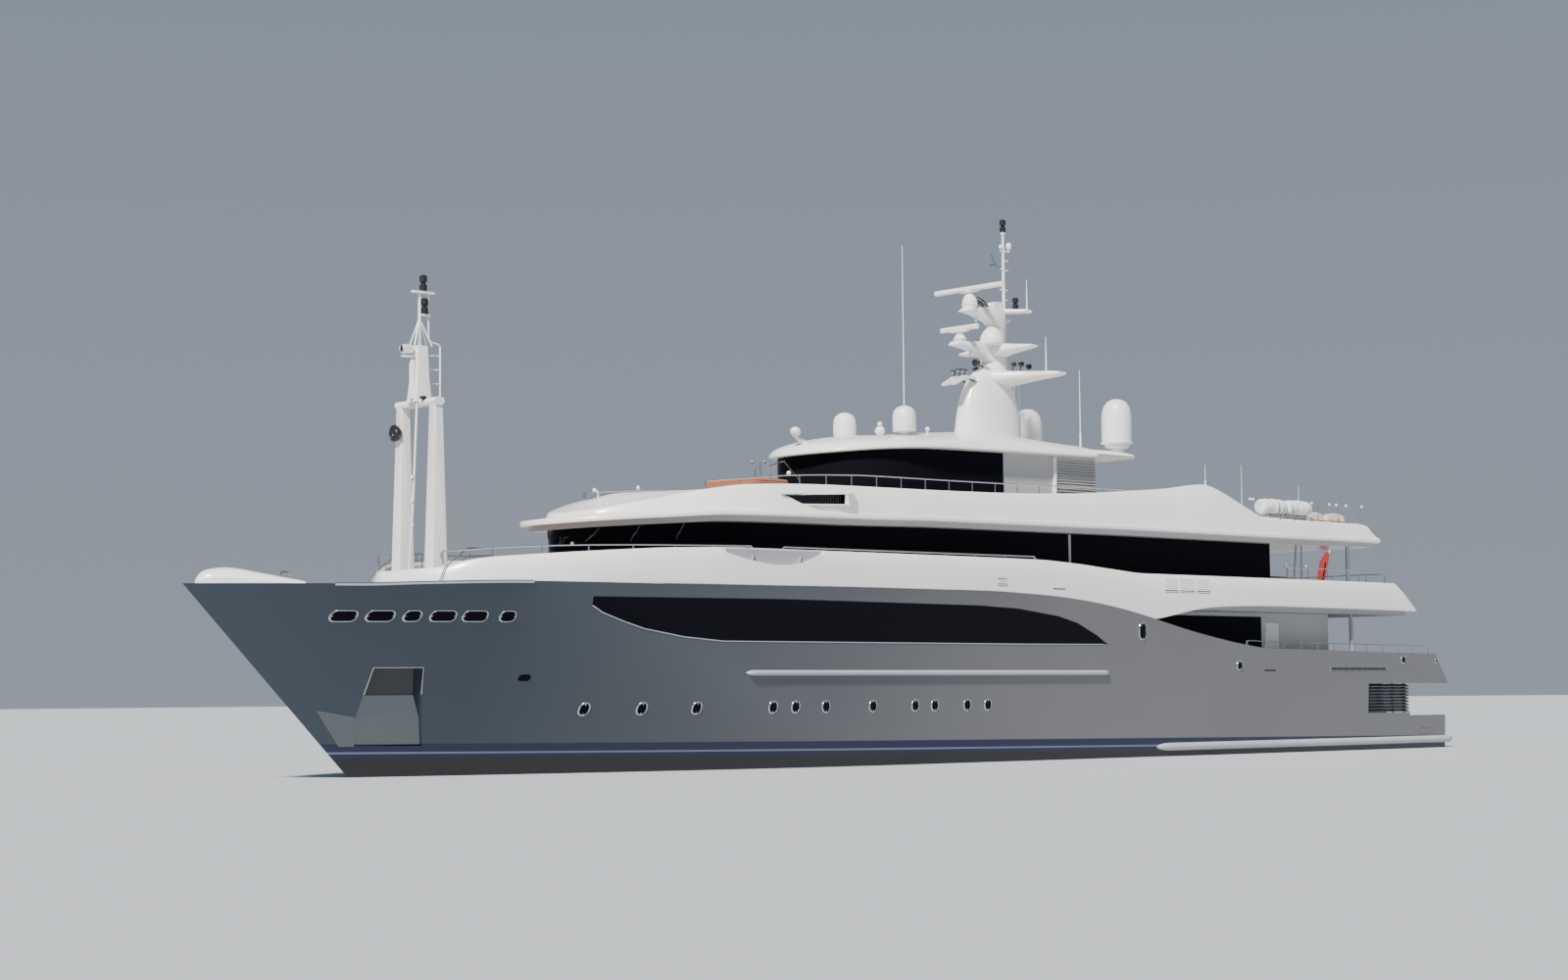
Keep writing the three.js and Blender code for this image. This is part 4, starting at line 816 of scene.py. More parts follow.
slate = sprayed("slate_paint", (0.022, 0.03, 0.038), 0.42, 0.15)
slate_slats = slats_tree(slate)
for side, name in SIDES:
    aft_y, fore_y = hull_half(TRANSOM_X, 2.2), hull_half(LOUVRE_FORE, 2.2)
    turn = side * math.atan2(fore_y - aft_y, LOUVRE_FORE - TRANSOM_X)
    middle_y = side * ((aft_y + fore_y) / 2 - 0.1)
    line = [(LOUVRE_MIDDLE, middle_y, LOUVRE_FOOT + 0.09), (LOUVRE_MIDDLE, middle_y, OVERHANG_SOFFIT - 0.09)]
    slats = along("stern_louvre_" + name, [line], slate_slats, Count=LOUVRE_SLATS, Length=LOUVRE_LONG,
            Depth=0.2, Thickness=0.05, Tilt=side * -0.45, Turn=turn)
    finish(slats, slate, "slate_paint", replaces=("louvre_" + name,))
    posts = [block("post", x - 0.05, x + 0.05, *sorted((side * (hull_half(x, 2.2) - 0.26),
            side * (hull_half(x, 2.2) - 0.2))),
            LOUVRE_FOOT, OVERHANG_SOFFIT) for x in (-24.3, -25.3, -26.3, -27.2)]
    frame_posts = combine(posts[0], "UNION", *posts[1:])
    frame_posts.name = "stern_louvre_posts_" + name
    finish(frame_posts, slate, "slate_paint")
    slot = closer(oblong(-23.35, 3.475, 4.3, 0.21), 0.25)
    fitted = together(skin_frame(slot, 0.03, -0.02, 0.015, side))
    fit("mooring_slot_rim_" + name, [fitted], steel, "steel")
    # the dark strips in the mooring slot are painted shade of its openings
    strips = [[(x, 3.375), (x + 0.42, 3.375), (x + 0.42, 3.575), (x, 3.575)]
            for x in np.linspace(-25.4, -21.72, 9)]
    seams = together(*[skin_plate(strip, -0.05, 0.006, side) for strip in strips],
            skin_frame(oblong(-28.7, 0.75, 1.2, 0.3), 0.02, -0.02, 0.004, side))
    fit("mooring_slot_" + name, [seams], seal_rubber_and_painted_shade, "slate_paint")

# The transom door's seams and its two handle plates
# The door is skinned like the hull and lies flush in the transom. A rubber seal frames it and a
# flush handle plate sits on each side.

door_seal = []
for y0, y1, z0, z1 in ((-2.93, 2.93, 0.64, 0.67), (-2.93, 2.93, 2.70, 2.73), (-2.93, -2.9, 0.67, 2.7),
        (2.9, 2.93, 0.67, 2.7), (-0.01, 0.01, 0.67, 2.7)):
    door_seal.append(loft([[(x, y0, z0), (x, y1, z0), (x, y1, z1), (x, y0, z1)] for x in (-27.455, -27.466)]))
for y in (-2.2, 2.2):
    door_seal.append(loft([[(x, y + 0.14 * math.cos(a), 1.1 + 0.05 * math.sin(a)) for a in round_turn(16)]
            for x in (-27.45, -27.468)]))
fit("transom_door_seal", door_seal, seal_rubber_and_painted_shade, "slate_paint", body="transom_door")
dress(hull_grey_and_bow_shade, "transom_door")

# Teak decks
# Narrow teak planks run fore and aft with black caulking between them, each plank of its own
# shade. Faces of the deck that don't face up, its soffit among them, are coloured grey as painted shade.

PLANK_WIDE = 0.06  # model metres for this and the next, so that the planks read at half size
PLANK_LONG = 1.2


def laid_teak(name, below=None):
    """Caulked planks of weathered teak; faces that don't face up may take a grey as painted shade."""
    material, tree, shader = new_material(name, Roughness=0.72)
    place = add_node(tree, "ShaderNodeTexCoord")
    split = add_node(tree, "ShaderNodeSeparateXYZ")
    row = reckon(tree, "MULTIPLY", split.outputs["Y"], 1 / PLANK_WIDE)
    number = reckon(tree, "FLOOR", row)
    shift = reckon(tree, "MULTIPLY", number, 0.37)
    run = reckon(tree, "ADD", reckon(tree, "MULTIPLY", split.outputs["X"], 1 / PLANK_LONG), shift)
    seam = reckon(tree, "LESS_THAN", reckon(tree, "FRACT", row), 0.08)
    butt = reckon(tree, "LESS_THAN", reckon(tree, "FRACT", run), 0.004)
    caulk = reckon(tree, "MAXIMUM", seam, butt)
    shade = add_node(tree, "ShaderNodeTexWhiteNoise")
    shade.noise_dimensions = "2D"
    plank = add_node(tree, "ShaderNodeCombineXYZ")
    tree.links.new(number, plank.inputs["X"])
    tree.links.new(reckon(tree, "FLOOR", run), plank.inputs["Y"])
    stretch = add_node(tree, "ShaderNodeMapping", Scale=(3.0, 90.0, 90.0))
    grain = add_node(tree, "ShaderNodeTexNoise", Scale=1.0, Detail=6.0)
    wood = blend(tree, shade.outputs["Value"], (0.30, 0.19, 0.105, 1), (0.42, 0.285, 0.165, 1))
    wood = blend(tree, reckon(tree, "MULTIPLY", grain.outputs["Fac"], 0.45), wood, (0.16, 0.095, 0.05, 1))
    colour = blend(tree, caulk, wood, (0.012, 0.011, 0.010, 1))
    if below:
        normal = add_node(tree, "ShaderNodeNewGeometry")
        facing = add_node(tree, "ShaderNodeSeparateXYZ")
        connect(tree, (normal, "Normal", facing, 0))
        colour = blend(tree, reckon(tree, "LESS_THAN", facing.outputs["Z"], 0.5), colour, (*below, 1))
    bump = add_node(tree, "ShaderNodeBump", Strength=0.35, Distance=0.004)
    tree.links.new(reckon(tree, "SUBTRACT", grain.outputs["Fac"], caulk), bump.inputs["Height"])
    tree.links.new(colour, shader.inputs["Base Color"])
    connect(tree, (place, "Object", split, 0), (plank, 0, shade, "Vector"),
            (place, "Object", stretch, "Vector"), (stretch, 0, grain, "Vector"),
            (bump, "Normal", shader, "Normal"))
    return material


teak = laid_teak("teak_planks")
# the upper deck's faces that don't face up take a grey as painted shade of the soffit
teak_deck = laid_teak("teak_with_painted_underside_shade", below=(0.34, 0.34, 0.355))
dress(teak, "swim_platform", "main_deck", "mooring_deck")
dress(teak_deck, "upper_deck")

# The main deckhouse
# A grey house inside the side decks aft, with tall black side windows, a hinged door on each
# side and sliding glass doors aft.

def white_paint(name, colour=(0.83, 0.82, 0.80), roughness=0.3):
    return sprayed(name, colour, roughness, 0.0)


# grey paint of the houses and trims; on white surfaces in the shade (the sun deck house's walls and fins, the
# soffit and the shell's groove) it is painted shade
house_grey_and_painted_shade = sprayed("house_grey_and_painted_shade", (0.47, 0.465, 0.47), 0.42, 0.0)
dress(house_grey_and_painted_shade, "main_deckhouse")
dress(white_paint("door_white"), "side_door_port", "side_door_stbd")
dress(dark_glass, "main_window_port", "main_window_stbd", "aft_door_port", "aft_door_stbd", "aft_screen",
      "upper_aft_door_port", "upper_aft_door_stbd", "upper_aft_screen")
for side, name in SIDES:
    # a lever on a rounded plate, near the leaf's aft edge
    wall = 3.59
    plate = [(-19.44 + x, z) for x, z in oblong(0, 4.45, 0.05, 0.2, 4)]
    lever = together(loft([[(x, side * y, z) for x, z in plate] for y in (wall - 0.002, wall + 0.008)]),
            tube([(-19.44, side * (wall - 0.01), 4.48), (-19.44, side * (wall + 0.05), 4.48),
            (-19.41, side * (wall + 0.06), 4.48), (-19.3, side * (wall + 0.06), 4.475)], 0.011, 8))
    fit("side_door_lever_" + name, [lever], steel, "steel", body="side_door_" + name)
    wall_lamps = together(*[ball((x, side * 4.6, 5.86), (0.1, 0.1, 0.035), 16, 8)
            for x in (-14.1, -17.61, -21.26)])
    fit("soffit_lamps_" + name, [wall_lamps], steel, "steel")
for body, wall_x in (("aft_door", -23.0), ("upper_aft_door", -18.6)):
    for side, name in SIDES:
        foot_z = 4.2 if body == "aft_door" else 7.1
        x, y = wall_x - 0.06, side * 0.09
        pull = tube([(x + 0.02, y, foot_z), (x - 0.05, y, foot_z), (x - 0.06, y, foot_z + 0.02),
                (x - 0.06, y, foot_z + 0.48), (x - 0.05, y, foot_z + 0.5), (x + 0.02, y, foot_z + 0.5)],
                0.012, 8)
        fit(body + "_pull_" + name, [pull], steel, "steel", body=body + "_" + name)

# The white band
# The upper deck's bulwark: laminated white mouldings with a rolled top edge, standing on the
# hull's deck edge amidships and drawn in to a rounded nose on the foredeck.

BAND_FOOT = [(SIDE_DECK_X, 5.42), (-10.8, 5.61), (-12.0, 5.81), (-13.3, 5.95), (-14.6, 6.01), (-17.0, 6.06),
        (-28.3, 6.02)]
BAND_TOP = [
    (23.4, 6.55), (23.1, 6.76), (22.5, 6.82), (21.9, 7.02), (21.4, 7.12), (20.0, 7.24), (18.3, 7.36),
    (16.9, 7.45), (15, 7.55), (12.1, 7.62), (0.5, 7.63), (-2.7, 7.62), (-4.9, 7.53), (-7.2, 7.36),
    (-9.15, 7.24), (-26.65, 7.24),
]
BAND_TIP, BAND_SHOULDER, BAND_AFT = 23.4, 12.0, -28.2


def band_half(x):
    if x < BAND_SHOULDER:
        return deck_half(x)
    along = min((x - BAND_SHOULDER) / (BAND_TIP - BAND_SHOULDER), 1)
    return HALF_BEAM * math.sqrt(1 - along ** 2)


def plan_loop(half, aft, tip, step=0.3, corner=0.3):
    """Half a plan outline, from the stern's middle round to the tip, with its outward normals."""
    u = np.linspace(1, 0, 4000)
    x = tip - (tip - aft - 0.001) * u ** 2
    y = np.array([half(v) for v in x])
    into = np.clip((aft + corner - x) / corner, 0, 1)
    y -= corner * (1 - np.sqrt(1 - into ** 2))
    x, y = np.concatenate([np.full(40, aft), x]), np.concatenate([np.linspace(0, y[0], 40, endpoint=False),
            y])
    run = np.concatenate([[0], np.cumsum(np.hypot(np.diff(x), np.diff(y)))])
    at = np.linspace(0, run[-1], int(run[-1] / step))
    # closer points round the corner of the stern and the nose
    near_corner = np.linspace(-0.6, 0.6, 13) + np.interp(half(aft) - corner / 2, y[:60], run[:60])
    at = np.unique(np.concatenate([at, near_corner]).clip(0, run[-1]))
    x, y = np.interp(at, run, x), np.interp(at, run, y)
    dx, dy = np.gradient(x, at), np.gradient(y, at)
    dx[0], dy[0], dx[-1], dy[-1] = 0, 1, 0, -1
    length = np.hypot(dx, dy)
    return x, y, -dy / length, dx / length


def plan_ring(loop, out, height, pull=0.0, reach=6.0):
    """A closed ring at a distance out from a plan outline, its stern end pulled forward."""
    x, y, nx, ny = loop
    out = np.array([out(v) for v in x]) if callable(out) else out
    moved_x, moved_y = x + nx * out, np.maximum(y + ny * out, 0)
    moved_x = moved_x + pull * np.clip((x[0] + reach - x) / reach, 0, 1) ** 2
    z = np.array([height(v) for v in moved_x]) if callable(height) else np.full(len(x), height)
    port = list(zip(moved_x, moved_y, z))
    port[0], port[-1] = (port[0][0], 0, port[0][2]), (port[-1][0], 0, port[-1][2])
    return port + [(a, -b, c) for a, b, c in reversed(port[1:-1])]


def lid(ring, aft, fore, spine, power=1.0, steps=9):
    """Rings that close a plan ring over its centreline, rising to the spine's height."""
    rings = []
    for s in (np.linspace(0, 1, steps + 1)[1:]) ** 1.3:
        share = (1 - (1 - s) ** 2) ** power
        row = []
        for x, y, z in ring:
            middle = min(max(x, aft), fore)
            top = spine(middle) if callable(spine) else spine
            row.append((middle + (1 - s) * (x - middle), (1 - s) * y, z + (top - z) * share))
        rings.append(row)
    return rings


def band_foot(x):
    if x < SIDE_DECK_X:
        return fair(BAND_FOOT)(x)
    on_rim = sheer(x)
    drop = min(max((x - 15.5) / 1.5, 0), 1)
    return on_rim + (UPPER_DECK - on_rim) * drop


white = white_paint("white_topcoat")
band_loop = plan_loop(band_half, BAND_AFT, BAND_TIP)
band_top = fair(BAND_TOP)
BAND_SECTION = (  # distance out, share of the way from foot to top, rise, pull forward at the stern
    (-0.35, 0, 0.002, 0), (-0.03, 0, 0.002, 0), (0, 0, 0.03, 0.03), (0, 0.3, 0, 0.465),
    (-0.04, 0.65, 0, 0.961), (-0.1, 1, -0.06, 1.4725), (-0.14, 1, -0.01, 1.55), (-0.19, 1, 0, 1.55),
    (-0.28, 1, 0, 1.55), (-0.32, 1, -0.03, 1.55), (-0.35, 1, -0.12, 1.55),
)
rings = [plan_ring(band_loop, out, lambda x: band_foot(x) * (1 - share) + band_top(x) * share + rise, pull)
        for out, share, rise, pull in BAND_SECTION]
band = solid("bulwark_moulding", *loft(rings + rings[:1], caps=False))
SCOOP = [(12.94, 7.42), (12.0, 7.2), (10.9, 7.06), (9.9, 7.08), (9.1, 7.24), (8.43, 7.5), (8.2, 7.8),
        (13.3, 7.8)]
SCOOP_DEPTH = 0.2
for side in (1, -1):
    scoop = prism("cut", SCOOP, *sorted((side * 4, side * 6)))
    carve(band, carve(scoop, plan_block("keep", 7, 14, lambda x: band_half(x) - SCOOP_DEPTH, 6, 9)))
finish(band, white, "white_paint", sharp=40, replaces=("bulwark",))


# Rails, scoops and grilles of the white band
# Polished handrails stand on short posts along the top edge. Each side has a shallow scoop, lined
# in grey as painted shade, with two pad eyes, and slatted grilles that ventilate the crew and engine spaces.

RAIL_INSET = 0.24
FORE_RAIL = [(22.45, 7.33), (21.59, 7.40), (20.70, 7.47), (18.77, 7.55), (16.82, 7.60), (14.56, 7.64),
        (11.74, 7.69)]
SIDE_RAIL = [(10.18, 7.70), (5.38, 7.71), (-2.72, 7.73)]
GRILLES = ((-0.7, 6.73, 0.53, 0.32, 5), (-10.65, 6.81, 0.83, 0.58, 8), (-11.65, 6.81, 0.91, 0.58, 8),
        (-12.68, 6.81, 0.86, 0.58, 8))


def posts_tree(material):
    """Round posts, stouter at the foot, hanging at even spaces from a rail."""
    sizes = (("Spacing", 0.6), ("Height", 0.3), ("Radius", 0.01))
    tree, given, placed = repeats_tree("rail_posts", sizes, material)
    post = add_node(tree, "GeometryNodeMeshCone", Vertices=10)
    down = add_node(tree, "ShaderNodeCombineXYZ")
    hung = add_node(tree, "GeometryNodeTransform")
    tree.links.new(reckon(tree, "MULTIPLY", given.outputs["Radius"], 1.35), post.inputs["Radius Bottom"])
    tree.links.new(reckon(tree, "MULTIPLY", given.outputs["Height"], -1.0), down.inputs["Z"])
    connect(tree, (given, "Radius", post, "Radius Top"), (given, "Height", post, "Depth"),
            (post, "Mesh", hung, "Geometry"), (down, 0, hung, "Translation"),
            (hung, "Geometry", placed, "Instance"))
    return tree


def rail_line(table, half, inset, side):
    """Points along a rail whose heights come from a table and whose line follows a plan."""
    height = fair(table)
    ends = sorted(x for x, z in table)
    count = max(int((ends[-1] - ends[0]) / 0.3), 3)
    return [(x, side * (half(x) - inset(x)), height(x)) for x in np.linspace(ends[-1], ends[0], count)]


def bent_down(path, drop):
    """A rail whose two ends turn down to their feet."""
    fore, aft = path[0], path[-1]
    lead = [(fore[0] + 0.07, fore[1], fore[2] - drop), (fore[0] + 0.07, fore[1], fore[2] - 0.08),
            (fore[0] + 0.05, fore[1], fore[2] - 0.02)]
    tail = [(aft[0] - 0.05, aft[1], aft[2] - 0.02), (aft[0] - 0.07, aft[1], aft[2] - 0.08),
            (aft[0] - 0.07, aft[1], aft[2] - drop)]
    return lead + path + tail


def on_band(x, z, out, side):
    foot_z, top_z = band_foot(x), band_top(x)
    share = (z - foot_z) / (top_z - foot_z)
    return (x, side * (band_half(x) + np.interp(share, (0, 0.3, 0.65, 0.93, 1), (0, 0, -0.04, -0.1, -0.14))
            + out), z)


steel_posts = posts_tree(steel)
band_lines = []
for side in (1, -1):
    for table in (FORE_RAIL, SIDE_RAIL):
        band_lines.append(rail_line(table, band_half, lambda x: RAIL_INSET, side))
bars = [tube(bent_down(line, 0.25), 0.022, 8) for line in band_lines]
fit("band_handrails", bars, steel, "steel")
MAIN_RAIL = [(-15.6, 4.63), (-19.0, 4.58), (-24.0, 4.54), (-29.0, 4.5)]
main_lines = [rail_line(MAIN_RAIL, deck_half, lambda x: 0.13, side) for side in (1, -1)]
fit("main_deck_handrails", [tube(bent_down(line, 0.3), 0.02, 8) for line in main_lines], steel, "steel")
finish(along("main_rail_posts", main_lines, steel_posts, Spacing=1.2, Height=0.36, Radius=0.016), steel,
       "steel", sharp=45)
finish(along("band_rail_posts", band_lines, steel_posts, Spacing=1.45, Height=0.42, Radius=0.02), steel,
       "steel", sharp=45)
round_lamps = [ball((18.75, side * (band_half(18.75) - RAIL_INSET), 7.61), (0.06, 0.06, 0.06), 16, 10)
        for side in (1, -1)]
scoop_foot = fair(SCOOP[:6])
scoop_skins, eyes = [], []
for side in (1, -1):
    rings = []
    for x in np.linspace(8.45, 12.9, 40):
        low, high, y = scoop_foot(x), band_top(x) - 0.04, side * (band_half(x) - SCOOP_DEPTH)
        rings.append([(x, y + side * 0.006, low - 0.02), (x, y + side * 0.006, max(high, low)),
                (x, y - side * 0.02, max(high, low)), (x, y - side * 0.02, low - 0.02)])
    scoop_skins.append(loft(rings))
    for x in (11.69, 9.47):
        y = side * (band_half(x) - SCOOP_DEPTH)
        eyes.append(tube([(x - 0.06, y - side * 0.02, 7.43), (x, y + side * 0.06, 7.36),
                (x + 0.05, y + side * 0.07, 7.24), (x + 0.05, y - side * 0.02, 7.2)],
                [0.02, 0.035, 0.04, 0.03], 10))
# the grey lining of each scoop is painted shade inside the recess
fit("scoop_linings", scoop_skins, sprayed("scoop_painted_shade", (0.33, 0.34, 0.36), 0.5, 0.0), "grey_trim")
fit("scoop_eyes_and_lamps", eyes + round_lamps, steel, "steel")
grille_backs = []
for side in (1, -1):
    slit = [(-4.2, 6.49), (-3.53, 6.49), (-3.53, 6.54), (-4.2, 6.54)]
    grille_backs.append(loft([[on_band(a, b, out, side) for a, b in slit] for out in (-0.03, 0.004)]))
white_slats = slats_tree(white)
for x, z, wide, high, count in GRILLES:
    for side, name in SIDES:
        corners = [(x - wide / 2, z - high / 2), (x + wide / 2, z - high / 2), (x + wide / 2, z + high / 2),
                (x - wide / 2, z + high / 2)]
        grille_backs.append(loft([[on_band(a, b, out, side) for a, b in corners] for out in (-0.03, 0.004)]))
        line = [on_band(x, z - high / 2 + 0.03, 0.008, side), on_band(x, z + high / 2 - 0.03, 0.008, side)]
        turn = math.atan2(on_band(x + 0.3, z, 0, side)[1] - on_band(x - 0.3, z, 0, side)[1], 0.6)
        slats = along("band_grille_" + str(abs(round(x))) + "_" + name, [line], white_slats, Count=count,
                Length=wide - 0.04, Depth=0.036, Thickness=0.012, Tilt=side * -0.7, Turn=turn)
        finish(slats, white, "white_paint")
fit("band_grille_backs", grille_backs, sprayed("grille_shadow", (0.05, 0.047, 0.045), 0.6, 0.0), "grey_trim")


# The upper deckhouse and its band of glass
# A welded aluminium house with a rounded front. One unbroken band of black glass is bonded
# round it from the sill up to the deck above.

def bowed(x, shoulder, tip, half, power):
    """Half a breadth, full as far forward as the shoulder and closing to nothing at the tip."""
    if x <= shoulder:
        return half
    return half * max(1 - min((x - shoulder) / (tip - shoulder), 1) ** power, 0) ** (1 / power)


def bowed_loop(aft, *shape):
    return plan_loop(lambda x: bowed(x, *shape), aft, shape[1], 0.25, 0.12)


def open_side(loop, aft):
    """The part of a plan outline forward of x, both sides of it, as one open run."""
    x, y, nx, ny = loop
    keep = (x > aft) & (y > 0) | (np.arange(len(x)) == len(x) - 1)
    port = [values[keep] for values in (x, y, nx, ny)]
    port[0] = np.concatenate([[aft], port[0]])
    port[1:] = [np.concatenate([values[:1], values]) for values in port[1:]]
    x, y, nx, ny = port
    return (np.concatenate([x, x[-2::-1]]), np.concatenate([y, -y[-2::-1]]), np.concatenate([nx, nx[-2::-1]]),
            np.concatenate([ny, -ny[-2::-1]]))


def wrapped(run, profile):
    """A profile of distances out and heights, run along an open outline."""
    x, y, nx, ny = run
    rings = []
    for i in range(len(x)):
        rings.append([(x[i] + nx[i] * out, y[i] + ny[i] * out, height(x[i]) if callable(height) else height)
                for out, height in profile])
    return loft(rings)


SUN_FOOT = fair([(17.2, 8.45), (16.0, 8.54), (14.2, 8.65), (11.85, 8.78), (7.0, 8.8), (2.2, 8.88),
        (-3.1, 8.91), (-8.9, 8.94), (-17.7, 8.93), (-25.8, 8.98)])
SLAB_THICK = 0.18
HOUSE_AFT = -18.6
HOUSE_PLAN = (6, 16.0, 3.9, 2.3)  # shoulder, tip, half breadth, fullness of the curve


def slab_foot(x):
    return SUN_FOOT(x) - SLAB_THICK


house_loop = bowed_loop(HOUSE_AFT, *HOUSE_PLAN)
front = open_side(house_loop, HOUSE_AFT + 0.02)
upper_wall = solid("upper_house_walls", *wrapped(front, [(0, UPPER_DECK + 0.002), (0, slab_foot),
        (-0.12, slab_foot), (-0.12, UPPER_DECK + 0.002)]))
aft_wall = block("aft_wall", HOUSE_AFT, HOUSE_AFT + 0.14, -3.9, 3.9, UPPER_DECK + 0.002,
        slab_foot(HOUSE_AFT) - 0.01)
combine(upper_wall, "UNION", carve(aft_wall, block("cut", HOUSE_AFT - 1, HOUSE_AFT + 1, -2.6, 2.6, 6.32,
        8.4)))
finish(upper_wall, house_grey_and_painted_shade, "grey_trim", replaces=("upper_deckhouse",))
glass_band = solid("upper_house_glass", *wrapped(front, [(0.004, 7.0), (0.04, 7.0), (0.04, slab_foot),
        (0.004, slab_foot)]))
finish(glass_band, dark_glass, "dark_glass", replaces=("upper_glass",))


# Wipers, window posts and the aft deck's stays
# Parallel wipers are parked on the wheelhouse glass. Pale posts divide the side glass, and thin
# polished stays carry the sun deck's overhang aft of the house.

def wiper(x, z_top, z_low, side, rake=0.25):
    """Arm and blade of one wiper, its pivot at the head of the glass."""
    def spot(at, z, out):
        return Vector((at, side * (bowed(at, *HOUSE_PLAN) + out), z))
    arm = tube([spot(x, z_top, 0.03), spot(x, z_top - 0.03, 0.1),
            spot(x + rake * 0.5, (z_top + z_low) / 2, 0.1), spot(x + rake, z_low + 0.1, 0.085)], 0.018, 8)
    blade = tube([spot(x + rake * 0.35, z_top - 0.25, 0.07),
            spot(x + rake * 0.7, (z_top + z_low) / 2 - 0.05, 0.07), spot(x + rake * 1.05, z_low, 0.07)],
            [0.01, 0.018, 0.01], 8)
    return together(arm, blade)


WIPERS = ((15.9, 8.4), (15.6, 8.42), (14.57, 8.48), (13.15, 8.56))
wipers = [wiper(x, z, z - 0.62, side) for side in (1, -1) for x, z in WIPERS]
fit("wipers", wipers, sprayed("wiper_grey", (0.13, 0.13, 0.14), 0.45, 0.3), "grey_trim")
posts = [block("post", -5.96, -5.84, *sorted((side * 3.93, side * 3.965)), 7.02, 8.72) for side in (1, -1)]
window_posts = combine(posts[0], "UNION", posts[1])
window_posts.name = "window_posts"
finish(window_posts, house_grey_and_painted_shade, "grey_trim")
AFT_RAIL = [(-18.7, 7.72), (-21.5, 7.74), (-25.9, 7.66)]
stays, aft_lines = [], []
for side in (1, -1):
    stays += [tube([(-19.75, side * 4.2, 6.2), (-20.08, side * 4.2, 8.8)], 0.045, 12),
            tube([(-20.43, side * 4.2, 6.2), (-20.43, side * 4.2, 8.8)], 0.045, 12),
            tube([(-23.72, side * 4.2, 6.2), (-23.72, side * 4.2, 8.8)], 0.06, 12)]
    aft_lines.append(rail_line(AFT_RAIL, band_half, lambda x: 0.3, side))
    stays += [ball((x, side * (band_half(x) - 0.3), 7.8), (0.07, 0.07, 0.07), 16, 10)
            for x in (-18.57, -19.98)]
stern_y = band_half(-26) - 0.5
stern_line = [(-26.3, y, 7.66) for y in np.linspace(stern_y, -stern_y, 20)]
bars = [tube(bent_down(line, 0.4), 0.02, 8) for line in aft_lines + [stern_line]]
fit("aft_deck_stays_and_rails", stays + bars, steel, "steel")
finish(along("aft_rail_posts", aft_lines + [stern_line], steel_posts, Spacing=1.3, Height=0.45, Radius=0.018),
       steel, "steel", sharp=45)


# The sun deck's slab and shell
# The slab's underside is coloured grey as painted shade, and the slab carries a white moulded shell,
# which rises forward into a rounded brow over the wheelhouse and aft into two raised quarters.

SHELL_TIP, SHELL_AFT = 17.2, -25.8
SHELL_TOP = fair([
    (17.2, 8.75), (16.6, 8.86), (15.8, 9.02), (14.6, 9.28), (13.2, 9.58), (12.0, 9.8), (11.0, 9.93),
    (7.0, 10.05), (2.2, 10.09), (-1.1, 10.14), (-5.6, 10.3), (-9.1, 10.57), (-11.6, 10.78), (-13.3, 11.0),
    (-14.1, 11.06), (-14.5, 10.98), (-16.6, 10.13), (-17.3, 9.85), (-20.6, 9.81), (-24.3, 9.8), (-25.3, 9.54),
    (-25.8, 9.2),
])


def shell_half(x):
    return bowed(x, 7, SHELL_TIP, 4.85, 2.1) - (0.25 * (-18 - x) / 7.8 if x < -18 else 0)


def visor(x):
    """How far the brim stands out from the brow."""
    share = min(max((x - 9.5) / 7.0, 0), 1)
    return 0.85 * share * share * (3 - 2 * share)


def shell_lean(x):
    return 0.3 * (SHELL_TOP(x) - SUN_FOOT(x))


shell_loop = plan_loop(shell_half, SHELL_AFT, SHELL_TIP, 0.25)
# distance out, brims in, share of the lean, share of the height, rise, pull forward at the stern
SHELL_SECTION = (
    (-0.32, 0, 0, 0, 0, 0), (-0.06, 0, 0, 0, 0.005, 0), (-0.01, 0, 0, 0, 0.03, 0), (0, 0, 0, 0, 0.08, 0),
    (-0.01, 0, 0, 0, 0.17, 0), (-0.05, 0, 0, 0, 0.21, 0), (-0.07, 1, 0, 0, 0.27, 0.2),
    (-0.04, 1, 0.45, 0.5, 0.15, 0.5), (0, 1, 0.93, 1, -0.08, 0.7), (-0.03, 1, 1, 1, -0.02, 0.75),
    (-0.1, 1, 1, 1, 0, 0.75),
)
body_rings = [plan_ring(shell_loop, lambda x: out - brim * visor(x) - lean * shell_lean(x),
        lambda x: SUN_FOOT(x) * (1 - share) + SHELL_TOP(x) * share + rise, pull)
        for out, brim, lean, share, rise, pull in SHELL_SECTION]
below = lid(body_rings[0], SHELL_AFT + 3, 13.0, SUN_FOOT)
above = lid(body_rings[-1], SHELL_AFT + 3, 13.0, lambda x: SHELL_TOP(min(x, 12.5)) + 0.08, 1.6)
shell = solid("sun_deck_moulding", *loft(below[::-1] + body_rings + above, caps=False))
carve(shell, plan_block("well", -25.0, 12.4, lambda x: shell_half(x) - 0.85, SUN_DECK, 13, 140))
VENT = [(6.77, 9.35), (8.99, 9.28), (9.69, 9.57), (6.77, 9.72)]
for side in (1, -1):
    carve(shell, prism("cut", VENT, *sorted((side * 3, side * 6))))
finish(shell, white, "white_paint", sharp=40, replaces=("sun_deck_shell",))
slab_rings = [plan_ring(shell_loop, -0.3, slab_foot),
        plan_ring(shell_loop, -0.3, lambda x: SUN_FOOT(x) - 0.002)]
slab = solid("sun_deck_soffit", *loft(lid(slab_rings[0], SHELL_AFT + 3, 13.0, slab_foot)[::-1] + slab_rings
        + lid(slab_rings[1], SHELL_AFT + 3, 13.0, lambda x: SUN_FOOT(x) - 0.002), caps=False))
pillars = [tube([(-23.7, y, UPPER_DECK), (-23.7, y, 8.85)], 0.09, 20) for y in (4.2, -4.2)]
finish(slab, house_grey_and_painted_shade, "grey_trim", sharp=40, replaces=("sun_deck_slab",))
planks = plan_block("sun_deck_planks", -24.96, 12.36, lambda x: shell_half(x) - 0.87, SUN_DECK - 0.01,
        SUN_DECK + 0.012, 100)
finish(planks, teak, "teak")
fit("sun_deck_pillars", pillars, steel, "steel")
